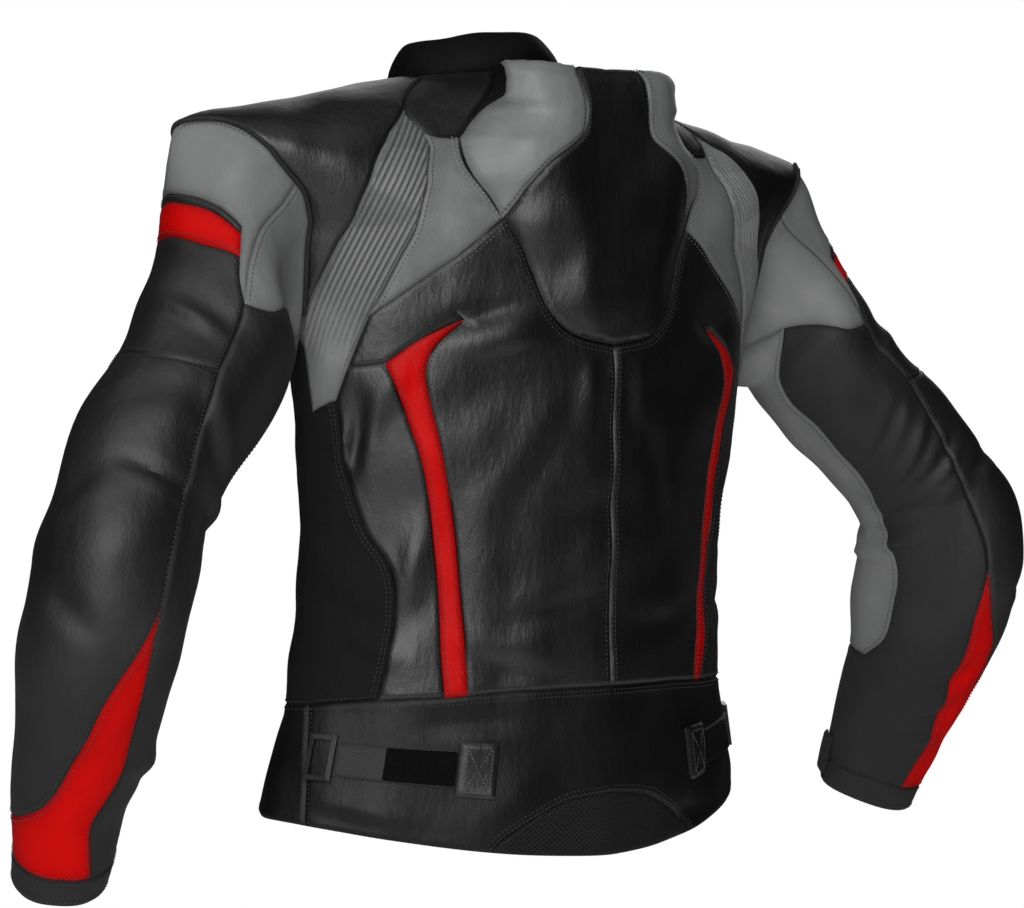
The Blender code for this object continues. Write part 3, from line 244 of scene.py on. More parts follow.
# round and along of the points that each seam of the left sleeve runs through
FRONT_SEAM = -75
INSIDE_SEAM = FRONT_SEAM + 360
CAP_CORNER, BAND_CORNER, RED_CORNER, GUSSET_CORNER = (64.5, 0.085), (65, 0.0925), (67, 0.113), (80, 0.148)
ARM_CORNER = (88, 0.221)
WEDGE_TIP = (98, 0.384)
INNER_TOP = (126, 0.052)
INNER_FOOT = (185, 0.482)
CUFF_CORNER = (97, CUFF_SEAM)

SLEEVE_SEAMS = {
    "cap_back": ((75, 0.0), (77, 0.038), (76, 0.080), (75, 0.116), (77.5, 0.135), GUSSET_CORNER),
    "cap_low": ((FRONT_SEAM, 0.056), (-15, 0.066), (17, 0.078), (42, 0.083), CAP_CORNER),
    "band_back": (CAP_CORNER, BAND_CORNER),
    "band_low": ((FRONT_SEAM, 0.064), (-15, 0.074), (17, 0.086), (42, 0.090), BAND_CORNER),
    "red_back": (BAND_CORNER, RED_CORNER),
    "red_low": ((FRONT_SEAM, 0.088), (-20, 0.100), (14, 0.112), (40, 0.116), RED_CORNER),
    "arm_back": (RED_CORNER, (71, 0.131), GUSSET_CORNER),
    "gusset_low": (GUSSET_CORNER, (90, 0.143), (103, 0.131), (116, 0.100), INNER_TOP),
    "gusset_pit": (INNER_TOP, (138, 0.024), (150, 0.0)),
    "under_top": (GUSSET_CORNER, (83, 0.178), ARM_CORNER),
    "arm_low": ((FRONT_SEAM, 0.222), (0, 0.226), (38, 0.235), (66, 0.232), ARM_CORNER),
    "under_arm": (ARM_CORNER, (97, 0.262), (101, 0.296), (103, 0.348), WEDGE_TIP),
    "wedge_in": (
        WEDGE_TIP, (87, 0.417), (70, 0.449), (55, 0.490), (37, 0.536), (8, 0.560), (-22, 0.572),
        (FRONT_SEAM, 0.578),
    ),
    "wedge_out": (
        WEDGE_TIP, (102, 0.418), (100, 0.454), (99, 0.490), (95, 0.524), (87, 0.552), (91, 0.580),
        CUFF_CORNER,
    ),
    "inner_back": (
        INNER_TOP, (150, 0.070), (168, 0.098), (178, 0.135), (175, 0.180), (178, 0.228),
        (178.5, 0.270), (179, 0.318), (174, 0.352), (165, 0.384), (165, 0.418), (167.5, 0.458),
        INNER_FOOT,
    ),
    "inner_low": (INNER_FOOT, (235, 0.488), (INSIDE_SEAM, 0.490)),
    "cuff_out": ((FRONT_SEAM, CUFF_SEAM), (0, CUFF_SEAM), CUFF_CORNER),
    "cuff_in": (CUFF_CORNER, (180, CUFF_SEAM), (INSIDE_SEAM, CUFF_SEAM)),
    "cuff_end": ((FRONT_SEAM, CUFF), (0, CUFF), (90, CUFF), (180, CUFF), (INSIDE_SEAM, CUFF)),
    "cap_front": ((FRONT_SEAM, 0.0), (FRONT_SEAM, 0.056)),
    "band_front": ((FRONT_SEAM, 0.056), (FRONT_SEAM, 0.064)),
    "red_front": ((FRONT_SEAM, 0.064), (FRONT_SEAM, 0.088)),
    "arm_front": ((FRONT_SEAM, 0.088), (FRONT_SEAM, 0.222)),
    "elbow_front": ((FRONT_SEAM, 0.222), (FRONT_SEAM, 0.490)),
    "elbow_fore": ((FRONT_SEAM, 0.490), (FRONT_SEAM, 0.578)),
    "wedge_front": ((FRONT_SEAM, 0.578), (FRONT_SEAM, CUFF_SEAM)),
    "cuff_front": ((FRONT_SEAM, CUFF_SEAM), (FRONT_SEAM, CUFF)),
}

# ------------------------------------------------------------- sizes of the looks

LEATHER_WALL, NET_WALL, COLLAR_WALL = 0.0017, 0.0028, 0.0040
COLLAR_SWELL = 0.0016
LAID_RISE = 0.0018
LAID_BASE = LAID_GAP + WEBBING + LAID_RISE
LAID_WALL = 0.0018
LAID_STEP, LAID_CORNER, STRAP_CORNER = 0.004, 0.003, 0.002
HOOKS_OUTER, HOOKS_PAST, HOOKS_INSET = 55.0, 0.3, 0.001
HOOKS_LIFT, HOOKS_WALL = 0.0014, 0.0013
POLISH, POLISH_ENDS, POLISH_UNDER = 0.64, (0.375, 0.470), 185.0
DULL = 0.42
BEHIND = (0.616, 0.788, 0.0)  # from the jacket to the camera, level
ACROSS = (-0.788, 0.616, 0.0)  # to the right in the picture
PHOTO_WIDTH, FOCAL_PIXELS = 1024, 2844
CAMERA_AWAY, CAMERA_ASIDE, CAMERA_HEIGHT, CAMERA_TILT = 2.4, 0.0186, -0.301, -0.5
SENSOR = 36.0  # millimetres
RIB_ALONG = 0.0013
RIB_LINES = 5
RIB_TALL, RIB_SUNK = 0.0026, 0.0008
RIB_PITCH = 0.0045
RIB_VIEW = np.array((ACROSS, (0.0, 0.0, 1.0)))
HUMP_ACROSS, HUMP_SIDES = 64, 0.985
HUMP_ROWS, BROW_ROWS = 0.0030, 0.0014
STITCH_LENGTH, STITCH_WIDTH, STITCH_PITCH, STITCH_SINK = 0.0027, 0.0008, 0.0037, 0.0001
BESIDE, TWIN = 0.0030, 0.0062
THREAD_STEP = 0.004
CROSS_TURN, CROSS_INSET, CROSS_PITCH, BOX_SWELLS = 1.4, 0.0045, 0.0031, 0.008
TOOTH, TOOTH_BEVEL, TOOTH_SHIFT = (0.0013, 0.0040, 0.0022), 0.0003, (0, 0.0012, 0.0010)
TOOTH_PITCH, TOOTH_LIFT = 0.0026, 0.0024
ZIP_RUN, ZIP_PARTS = (0.003, HEM - 0.002), 60
PIPING_RADIUS, PIPING_LIFT, PIPING_PARTS = 0.0019, 0.0004, 64
FLOOR_HEIGHT, FLOOR_HALF, FLOOR_GLOW = -1.45, 2.0, 0.12
ROOM_LIGHT = 0.012
OVERHEAD, OVERHEAD_SPREAD, OVERHEAD_TURNS = 0.50, 70, (-14, 8, 0)
LIT_MIDDLE = Vector((0, 0, -0.3))
SOFTBOXES = (
    # name, azimuth, height in degrees, distance, size, watts
    ("key_softbox", 48, 16, 3.1, 2.6, 92),
    ("left_softbox", 8, 50, 2.4, 1.2, 6),
    ("front_softbox", 225, 20, 3.4, 2.4, 24),
)
CLOTH_STEP = 0.0052
ARMHOLE_DEGREES = 2.5
SEAM_RINGS = (0.0022, 0.0050)
CALM, COLLAR_CALM = 0.03, 0.02
LEAST_FILL, MOST_FILL = 0.31, 1.01
TINY = 1e-9

# each fold: first place, second place, way it runs, half length, half width, push out,
# side (1 the wearer's left, -1 the right, 0 both)
TORSO_FOLDS = (
    (33, 0.246, 24, 0.052, 0.0065, -0.0045, 1),
    (30, 0.262, 18, 0.050, 0.0090, 0.0030, 1),
    (36, 0.250, 20, 0.045, 0.0080, -0.0030, -1),
    (66, 0.334, 74, 0.045, 0.0075, -0.0035, 1),
    (73, 0.352, 68, 0.050, 0.0085, 0.0030, 1),
    (70, 0.345, 80, 0.045, 0.0080, -0.0030, -1),
    (56, 0.300, 50, 0.045, 0.0090, 0.0030, 1),
    (52, 0.430, 78, 0.060, 0.011, 0.004, 0),
    (26, 0.340, 60, 0.070, 0.012, 0.003, 1),
    (22, 0.355, 72, 0.070, 0.012, 0.003, -1),
    (70, 0.470, -20, 0.050, 0.010, -0.004, 0),
    (62, 0.495, -32, 0.045, 0.009, 0.003, 1),
    (84, 0.420, -25, 0.060, 0.012, 0.004, 0),
    (20, 0.470, 15, 0.060, 0.012, -0.003, 1),
    (28, 0.500, -18, 0.055, 0.011, 0.0025, 1),
    (24, 0.482, -12, 0.060, 0.012, -0.003, -1),
    (10, 0.300, 82, 0.040, 0.008, 0.003, 0),
    (34, 0.560, 4, 0.060, 0.010, -0.0025, 1),
    (58, 0.648, -6, 0.060, 0.010, 0.0025, 1),
    (30, 0.655, 8, 0.055, 0.010, -0.0025, -1),
    (140, 0.300, 40, 0.070, 0.014, 0.004, 0),
    (150, 0.420, -15, 0.070, 0.013, -0.004, 1),
    (156, 0.400, -22, 0.060, 0.013, -0.004, -1),
    (136, 0.520, -26, 0.060, 0.012, 0.003, -1),
)
SLEEVE_FOLDS = (
    (58, 0.356, 82, 0.085, 0.040, 0.0050, 0),
    (76, 0.311, 4, 0.050, 0.0055, -0.0045, 0),
    (38, 0.394, 16, 0.050, 0.0080, -0.0035, 0),
    (20, 0.330, -28, 0.045, 0.0090, -0.0025, 0),
    (150, 0.300, 12, 0.050, 0.011, 0.004, 1),
    (190, 0.335, -6, 0.055, 0.012, -0.0035, 0),
    (215, 0.368, 8, 0.050, 0.013, 0.0028, 0),
    (120, 0.255, 30, 0.050, 0.011, 0.004, 1),
    (250, 0.320, -10, 0.055, 0.012, -0.004, 0),
    (285, 0.345, 14, 0.050, 0.009, 0.004, 1),
    (300, 0.300, -9, 0.050, 0.008, -0.004, -1),
    (66, 0.256, -12, 0.055, 0.012, -0.003, 1),
    (46, 0.180, 22, 0.050, 0.010, 0.003, 1),
    (55, 0.168, 10, 0.060, 0.012, -0.003, 0),
    (140, 0.505, 15, 0.040, 0.010, 0.004, 1),
    (62, 0.470, 64, 0.070, 0.010, 0.0025, 1),
    (140, 0.236, 20, 0.050, 0.0062, -0.0042, -1),
    (128, 0.266, 24, 0.052, 0.0060, 0.0048, -1),
    (112, 0.290, 18, 0.050, 0.0058, -0.0046, -1),
    (103, 0.314, 12, 0.045, 0.0070, 0.0040, -1),
    (158, 0.318, -8, 0.045, 0.0065, -0.0045, -1),
    (166, 0.352, 6, 0.036, 0.0080, 0.0030, -1),
    (96, 0.474, 38, 0.050, 0.0085, -0.0036, -1),
    (112, 0.506, 30, 0.050, 0.0075, 0.0040, -1),
    (121, 0.544, 22, 0.040, 0.0065, -0.0034, -1),
    (170, 0.520, -14, 0.040, 0.0080, 0.0036, -1),
)

HUMP_FOLDS = (
    (12, 0.120, 80, 0.050, 0.012, 0.002, 0),
    (14, 0.200, 75, 0.045, 0.010, -0.002, 1),
)

# ----------------------------------------------------------------- the surfaces


class Curves:
    """A table whose rows are joined by smooth curves that never pass a row's value."""

    def __init__(self, rows):
        self.rows = np.array(rows, float)
        self.places = self.rows[:, 0]
        rise = np.diff(self.rows, axis=0) / np.diff(self.places)[:, None]
        before, after = rise[:-1], rise[1:]
        steady = before * after > 0
        total = np.where(steady, before + after, 1.0)
        inner = np.where(steady, 2 * before * after / total, 0.0)
        self.slopes = np.vstack((rise[:1], inner, rise[-1:]))

    def at(self, place):
        place = np.asarray(place, float)
        k = np.clip(np.searchsorted(self.places, place) - 1, 0, len(self.places) - 2)
        span = (self.places[k + 1] - self.places[k])[..., None]
        t = (place - self.places[k])[..., None] / span
        held = np.clip(t, 0, 1)
        a, b = self.rows[k], self.rows[k + 1]
        from_a, to_b = self.slopes[k] * span, self.slopes[k + 1] * span
        ease = held * held * (3 - 2 * held)
        value = a + (b - a) * ease + from_a * held * (1 - held) ** 2 + to_b * held * held * (held - 1)
        value = value + np.where(t < 0, from_a, to_b) * (t - held)
        return value[..., 1:]


TORSO_TABLE = Curves(TORSO_RINGS)
SLEEVE_TABLE = Curves(SLEEVE_RINGS)
COLLAR_TABLE = Curves(COLLAR_RINGS)
HUMP_TABLE = Curves(HUMP_RIDGE)


def powered(value, power):
    return np.copysign(np.abs(value) ** power, value)


def unit(vectors):
    return vectors / np.maximum(np.linalg.norm(vectors, axis=-1, keepdims=True), TINY)


def eased(share):
    share = np.clip(share, 0, 1)
    return share * share * (3 - 2 * share)


def ring_points(turn, row):
    width, middle, behind, before, back_z, side_z, front_z, square = (row[..., k] for k in range(8))
    sine, cosine = np.sin(np.radians(turn)), np.cos(np.radians(turn))
    depth = np.where(cosine > 0, behind, before)
    end_z = np.where(cosine > 0, back_z, front_z)
    power = 2 / square
    return np.stack((
        width * powered(sine, power),
        middle + depth * powered(cosine, power),
        side_z + (end_z - side_z) * cosine * cosine,
    ), axis=-1)


def torso_shape(turn, drop):
    return ring_points(turn, TORSO_TABLE.at(drop))


def collar_shape(turn, rise):
    row = COLLAR_TABLE.at(rise)
    return ring_points(turn, np.concatenate((row, np.full((*row.shape[:-1], 1), 2.0)), axis=-1))


WRAPPED = ARMHOLE_PLACES[-5:] + ARMHOLE_PLACES + ARMHOLE_PLACES[:5]
TURNS_ROUND = [-360] * 5 + [0] * len(ARMHOLE_PLACES) + [360] * 5
ARMHOLE_TABLE = Curves([(place[0] + full, place[1], place[2]) for place, full in zip(WRAPPED, TURNS_ROUND)])


def armhole(degrees):
    row = ARMHOLE_TABLE.at((np.asarray(degrees, float) - ARMHOLE_FRONT) % 360 + ARMHOLE_FRONT)
    return row[..., 0], row[..., 1]


def arm_ring(degrees, along):
    row = SLEEVE_TABLE.at(along)
    ahead, behind = SLEEVE_TABLE.at(along + RING_REACH), SLEEVE_TABLE.at(along - RING_REACH)
    way = unit(ahead[..., :3] - behind[..., :3])
    out = np.array((1.0, 0.0, 0.0))
    out = unit(out - way * (way @ out)[..., None])
    back = np.cross(way, out)
    back = np.where(back[..., 1:2] > 0, back, -back)
    across, deep, skew = (row[..., k:k + 1] for k in (3, 4, 5))
    sine, cosine = np.sin(np.radians(degrees))[..., None], np.cos(np.radians(degrees))[..., None]
    return row[..., :3] + out * (across * cosine + skew * sine) + back * (deep * sine + skew * cosine)


def sleeve_shape(degrees, along):
    degrees, along = np.broadcast_arrays(np.asarray(degrees, float), np.asarray(along, float))
    inside_share = (1 - np.cos(np.radians(degrees))) / 2
    fan = ARMPIT_FAN * inside_share * np.maximum(0.0, 1 - along / ARMPIT_FADE) ** 2
    ring = arm_ring(degrees, along + fan)
    share = eased(along / SLEEVE_BLEND)[..., None]
    turned = np.minimum(2 * inside_share, 1.0)[..., None]
    leaves = np.array(LEAVES_OUTSIDE) * (1 - turned) + np.array(LEAVES_INSIDE) * turned
    seam = torso_shape(*armhole(degrees)) + leaves * along[..., None]
    return seam * (1 - share) + ring * share


def hump_half(drop):
    """Half the hump's width in degrees: the table's above, and its seam's below."""
    table = HUMP_TABLE.at(drop)[..., 0]
    along_seam = np.interp(drop, HUMP_EDGE[:, 1], HUMP_EDGE[:, 0])
    return table + (along_seam - table) * eased((drop - EDGE_FROM) / EDGE_OVER)


def hump_height(places):
    """How far the foam stands off the back: flat behind, with free edges above and run out below."""
    turn, drop = places[..., 0], places[..., 1]
    table = HUMP_TABLE.at(drop)
    side = np.clip(turn / np.maximum(hump_half(drop), 0.1), -1, 1)
    level = torso_shape(np.zeros_like(turn), drop)[..., 1] - torso_shape(turn, drop)[..., 1]
    ridge, edge = table[..., 1], table[..., 3]
    share = np.minimum(ridge / HUMP_LEVELS, 1.0)
    fall = np.clip((np.abs(side) - HUMP_FLAT) / (1 - HUMP_FLAT), 0, 1) ** HUMP_FALL
    rise = (ridge + level * share) * (1 - (1 - edge) * fall)
    brow_turns, brow_drops = zip((0.0, HUMP_TOP), STRIP_TOP, HUMP_CORNER)
    brow = np.interp(np.abs(turn), brow_turns, brow_drops)
    near_brow = 1 - np.clip((drop - brow) / BROW_ROUND, 0, 1)
    return np.maximum(rise, 0) * (1 - BROW_DRAW + BROW_DRAW * np.sqrt(1 - near_brow ** 2))


def hump_shape(turn, drop):
    turn, drop = np.broadcast_arrays(np.asarray(turn, float), np.asarray(drop, float))
    places = np.stack((turn, drop), axis=-1)
    table = HUMP_TABLE.at(drop)
    lean = table[..., 2] * np.clip(turn / table[..., 0], -1, 1)
    out = np.stack((lean, np.ones_like(turn), np.zeros_like(turn)), axis=-1)
    return torso_shape(turn, drop) + out * hump_height(places)[..., None]


RIPPLE_COUNT, RIPPLE_HEIGHT = 26, 0.00026
RIPPLES = np.random.default_rng(4)
RIPPLE_WAYS = RIPPLES.normal(size=(RIPPLE_COUNT, 3))
RIPPLE_WAYS /= np.linalg.norm(RIPPLE_WAYS, axis=1)[:, None]
RIPPLE_SIZES = RIPPLES.uniform(0.035, 0.12, RIPPLE_COUNT)
RIPPLE_STARTS = RIPPLES.uniform(0, 2 * math.pi, RIPPLE_COUNT)


def ripples(points):
    """The slow unevenness of worn leather, the same wherever two panels meet."""
    phase = points @ (RIPPLE_WAYS / RIPPLE_SIZES[:, None]).T * 2 * math.pi + RIPPLE_STARTS
    return np.sin(phase).sum(axis=-1) * RIPPLE_HEIGHT


class Surface:
    """A shape with its scale (metres in a degree), which way it faces and its folds."""

    def __init__(self, shape, scale, facing, folds, calm):
        self.shape = shape
        self.scale = scale
        self.facing = facing
        self.folds = folds
        self.calm = calm

    def slopes(self, places):
        turn, far = places[:, 0], places[:, 1]
        first = self.shape(turn + NORMAL_TURN, far) - self.shape(turn - NORMAL_TURN, far)
        second = self.shape(turn, far + NORMAL_DROP) - self.shape(turn, far - NORMAL_DROP)
        return first / (2 * NORMAL_TURN), second / (2 * NORMAL_DROP)

    def normals(self, places):
        first, second = self.slopes(places)
        return unit(np.cross(first, second)) * self.facing

    def push(self, places, hand):
        """How far folds and ripples move the leather at each place."""
        turn, far = places[:, 0], places[:, 1]
        side = np.full(len(turn), hand)
        if self is not SLEEVE:
            side = np.where(turn < 0, -hand, hand)
            turn = np.abs(turn)
        total = np.zeros(len(turn))
        for first, second, way, half_length, half_width, height, only in self.folds:
            across = (turn - first) * self.scale
            down = far - second
            cosine, sine = math.cos(math.radians(way)), math.sin(math.radians(way))
            length = (across * cosine + down * sine) / half_length
            width = (-across * sine + down * cosine) / half_width
            crease = np.exp(-width * width) - 0.35 * np.exp(-((width - 1.5) / 0.7) ** 2)
            shape = np.clip(1 - length * length, 0, None) ** 2 * crease
            total += height * shape * ((side == only) | (only == 0))
        where = self.shape(places[:, 0], far) * np.array((hand, 1, 1))
        return (total + ripples(where)) * self.calm(places)


def torso_calm(places):
    """Folds die out before the armhole and the collar, where two surfaces meet."""
    turn, drop = np.abs(places[:, 0]), places[:, 1]
    rounds = np.arange(0, 360, 5.0)
    seam_turn, seam_drop = armhole(rounds)
    across = (turn[:, None] - seam_turn) * TORSO_SCALE
    gap = np.sqrt(across ** 2 + (drop[:, None] - seam_drop) ** 2).min(axis=1)
    return eased(gap / CALM) * eased(drop / CALM)


def sleeve_calm(places):
    return eased(places[:, 1] / CALM)


def collar_calm(places):
    return eased(places[:, 1] / COLLAR_CALM)


TORSO = Surface(torso_shape, TORSO_SCALE, 1, TORSO_FOLDS, torso_calm)
SLEEVE = Surface(sleeve_shape, SLEEVE_SCALE, -1, SLEEVE_FOLDS, sleeve_calm)
COLLAR = Surface(collar_shape, COLLAR_SCALE, -1, (), collar_calm)
HUMP = Surface(hump_shape, TORSO_SCALE, 1, HUMP_FOLDS, torso_calm)

# ----------------------------------------------------------------- seams and loops

CURVE_PARTS = 24
ON_ARM = 0.004  # where the sleeve's side of the armhole seam is read
FOOT_HEIGHT = 0.0005  # the hump stands on the back where it is lower than this

def smooth_through(points, scale, step):
    """Places along the seam's smooth curve, about one step apart."""
    flat = np.array([(p[0] * scale, p[1]) for p in points], float)
    ends = np.vstack((2 * flat[0] - flat[1], flat, 2 * flat[-1] - flat[-2]))
    t = (np.arange(1, CURVE_PARTS + 1) / CURVE_PARTS)[:, None]
    ease = t * t * (3 - 2 * t)
    dense = [flat[:1]]
    for before, start, end, after in zip(ends, ends[1:], ends[2:], ends[3:]):
        chord = np.linalg.norm(end - start)
        lean_in, lean_out = unit(end - before) * chord, unit(after - start) * chord
        dense.append(start + (end - start) * ease + lean_in * t * (1 - t) ** 2 + lean_out * t * t * (t - 1))
    dense = np.vstack(dense)
    walked = np.concatenate(([0.0], np.cumsum(np.linalg.norm(np.diff(dense, axis=0), axis=1))))
    stops = np.linspace(0, walked[-1], max(1, round(walked[-1] / step)) + 1)
    first, second = (np.interp(stops, walked, dense[:, k]) for k in (0, 1))
    places = np.stack((first / scale, second), axis=1)
    places[0], places[-1] = points[0], points[-1]
    return places


HUMP_EDGE = np.vstack([
    smooth_through(TORSO_SEAMS[name], TORSO.scale, 0.003)
    for name in ("hump_upper", "hump_middle", "hump_lower")
])


class Loop:
    """One closed edge of a panel on a surface, made of named seams."""

    def __init__(self, surface, parts=(), places=None):
        self.surface = surface
        self.places = np.zeros((0, 2)) if places is None else places
        self.rounds = np.full(len(self.places), np.nan)
        self.at_collar = np.zeros(len(self.places), bool)
        for part in parts:
            self.add(*seam_run(surface, part, CLOTH_STEP))
        if parts:
            self.close()

    def add(self, places, rounds, at_collar):
        if len(self.places):
            if not np.isnan(rounds[0]):
                self.rounds[-1] = rounds[0]
            self.at_collar[-1] |= at_collar[0]
            places, rounds, at_collar = places[1:], rounds[1:], at_collar[1:]
        self.places = np.vstack((self.places, places))
        self.rounds = np.concatenate((self.rounds, rounds))
        self.at_collar = np.concatenate((self.at_collar, at_collar))

    def close(self):
        """Drops the last point, which is the first one again."""
        if np.isnan(self.rounds[0]):
            self.rounds[0] = self.rounds[-1]
        self.at_collar[0] |= self.at_collar[-1]
        self.places = self.places[:-1]
        self.rounds = self.rounds[:-1]
        self.at_collar = self.at_collar[:-1]

    def outline(self):
        return self.places * np.array((self.surface.scale, 1.0))

    def normals(self):
        """Where two surfaces meet, both use the direction half way between them."""
        found = self.surface.normals(self.places)
        if self.surface is HUMP:
            foot = hump_height(self.places) < FOOT_HEIGHT
            found[foot] = TORSO.normals(self.places[foot])
        at = ~np.isnan(self.rounds)
        if at.any():
            found[at] = armhole_normals(self.rounds[at])
        at = self.at_collar
        if at.any():
            found[at] = collar_normals(self.places[at, 0])
        return found


def armhole_normals(rounds):
    body = np.stack(armhole(rounds), axis=1)
    arm = np.stack((rounds, np.full(len(rounds), ON_ARM)), axis=1)
    return unit(TORSO.normals(body) + SLEEVE.normals(arm))


def collar_normals(turns):
    seam = np.stack((turns, np.zeros(len(turns))), axis=1)
    return unit(TORSO.normals(seam) + COLLAR.normals(seam))


def seam_run(surface, part, step):
    """Places along one seam, or along the armhole between two of its degrees.

    A seam's name may follow "-" (run from its end), "~" (mirrored) or "+" (a turn further on).
    """
    if isinstance(part, tuple):
        rounds = np.linspace(part[0], part[1], round(abs(part[1] - part[0]) / ARMHOLE_DEGREES) + 1)
        flat = np.stack((rounds, np.zeros(len(rounds))), axis=1)
        places = flat if surface is SLEEVE else np.stack(armhole(rounds), axis=1)
        return places, rounds, np.zeros(len(rounds), bool)
    name = part.strip("-~+")
    table = SLEEVE_SEAMS if surface is SLEEVE else TORSO_SEAMS
    places = smooth_through(table[name], surface.scale, step)
    places[:, 0] += 360 if "+" in part else 0
    places[:, 0] *= -1 if "~" in part else 1
    places = places[::-1] if "-" in part else places
    return places, np.full(len(places), np.nan), np.full(len(places), name.startswith("collar_"))


def area_of(outline):
    after = np.roll(outline, -1, axis=0)
    return 0.5 * float((outline[:, 0] * after[:, 1] - after[:, 0] * outline[:, 1]).sum())


def inside(points, outline):
    """Which points lie inside the outline."""
    x, y = points[:, :1], points[:, 1:]
    ax, ay = outline.T
    bx, by = np.roll(outline, -1, axis=0).T
    spans = (ay > y) != (by > y)
    level = np.where(by == ay, 1.0, by - ay)
    return (spans & (x < (bx - ax) * (y - ay) / level + ax)).sum(axis=1) % 2 == 1


BATCH = 1500  # points measured at a time, to spare memory


def nearest(points, outline):
    """The shortest way from each point to the outline, as a flat step."""
    ways = np.roll(outline, -1, axis=0) - outline
    lengths = np.maximum((ways * ways).sum(axis=1), TINY)
    steps = []
    for some in np.array_split(points, max(1, len(points) // BATCH)):
        offset = some[:, None] - outline
        share = np.clip((offset * ways).sum(axis=2) / lengths, 0, 1)
        gap = offset - ways * share[..., None]
        steps.append(gap[np.arange(len(some)), (gap ** 2).sum(axis=2).argmin(axis=1)])
    return np.vstack(steps)


def filling(outline, step, clear):
    """Places on a staggered grid inside the outline, clear of its edge."""
    low, high = outline.min(axis=0), outline.max(axis=0)
    rise = step * math.sqrt(3) / 2
    columns = np.arange(int((high[0] - low[0]) / step) + 2)
    rows = np.arange(1, int((high[1] - low[1]) / rise) + 1)
    x = low[0] + columns[None] * step + (rows % 2)[:, None] * step / 2
    y = low[1] + rows[:, None] * rise + 0 * x
    points = np.stack((x.ravel(), y.ravel()), axis=1)
    points = points[inside(points, outline)]
    if not len(points):
        return points
    return points[np.linalg.norm(nearest(points, outline), axis=1) > clear]


LEAST_SCALE, MOST_SCALE, STILL_CLEAR = 0.6, 3.0, 0.86


def beside_seams(surface, loop, distances):
    """Places a few millimetres inside the loop, which carry the seam's turned edge."""
    outline = loop.outline()
    ways = unit(np.roll(outline, -1, axis=0) - np.roll(outline, 1, axis=0))
    inward = np.stack((-ways[:, 1], ways[:, 0]), axis=1) * np.sign(area_of(outline))
    first, second = surface.slopes(loop.places)
    metres = np.linalg.norm(first * (inward[:, :1] / surface.scale) + second * inward[:, 1:], axis=1)
    metres = np.clip(metres, LEAST_SCALE, MOST_SCALE)
    found = []
    for distance in distances:
        reach = distance / metres
        points = outline + inward * reach[:, None]
        keep = inside(points, outline)
        clear = np.linalg.norm(nearest(points, outline), axis=1) > reach * STILL_CLEAR
        found.append(points[keep & clear])
    return np.vstack(found)


def triangles_in(outline, inner):
    """Triangles that fill the outline through the inner points."""
    flat = np.vstack((outline, inner)) if len(inner) else outline
    points = [Vector(p) for p in flat]
    edge = len(outline)
    made = delaunay_2d_cdt(points, [], [list(range(edge))], 0, 1e-7, True)
    index = np.array([original[0] if original else -1 for original in made[3]])
    if (index < 0).any():
        raise ValueError("two seams of one panel cross or touch")
    faces = index[np.array(made[2])]
    a, b, c = flat[faces[:, 0]], flat[faces[:, 1]], flat[faces[:, 2]]
    twice = (b[:, 0] - a[:, 0]) * (c[:, 1] - a[:, 1]) - (b[:, 1] - a[:, 1]) * (c[:, 0] - a[:, 0])
    faces = faces if twice.sum() > 0 else faces[:, ::-1]
    sides = {}
    for number, (a, b, c) in enumerate(faces.tolist()):
        sides[a, b] = sides[b, c] = sides[c, a] = number
    border = [(k, (k + 1) % edge) for k in range(edge)]
    if area_of(outline) < 0:
        border = [(b, a) for a, b in border]
    walls = set(border) | {(b, a) for a, b in border}
    waiting, kept = [sides[pair] for pair in border], set()
    while waiting:
        number = waiting.pop()
        if number in kept:
            continue
        kept.add(number)
        a, b, c = faces[number].tolist()
        for pair in ((a, b), (b, c), (c, a)):
            if pair not in walls and (pair[1], pair[0]) in sides:
                waiting.append(sides[pair[1], pair[0]])
    return faces[sorted(kept)]


# ------------------------------------------------------------------------ panels

SEAM_DIP, SEAM_DIP_WIDTH = 0.0016, 0.0016
FOLD_EDGE, FOLD_EDGE_WIDTH, FOLD_EDGE_FROM = 0.0005, 0.0040, 0.0035
PUFF, PUFF_WIDTH = 0.0011, 0.020
NEAR_SEAM = 0.006
SHARP = 50


def seam_profile(gap):
    """Leather dips into its seam, stands up over the turned edge and swells beyond."""
    dip = -SEAM_DIP * np.exp(-(gap / SEAM_DIP_WIDTH) ** 2)
    fold = FOLD_EDGE * np.exp(-((gap - FOLD_EDGE_FROM) / FOLD_EDGE_WIDTH * 2) ** 2)
    return dip + fold + PUFF * (1 - np.exp(-(gap / PUFF_WIDTH) ** 2)) - PUFF * 0.5


def no_rise(places, _gap):
    return np.zeros((len(places), 3))


def mark_points(mesh, name, values):
    """Stores a number at each outer point, and at the inner point below it, for the finish."""
    marks = mesh.attributes.new(name, "FLOAT", "POINT")
    marks.data.foreach_set("value", np.tile(values, 2).astype(np.float32))


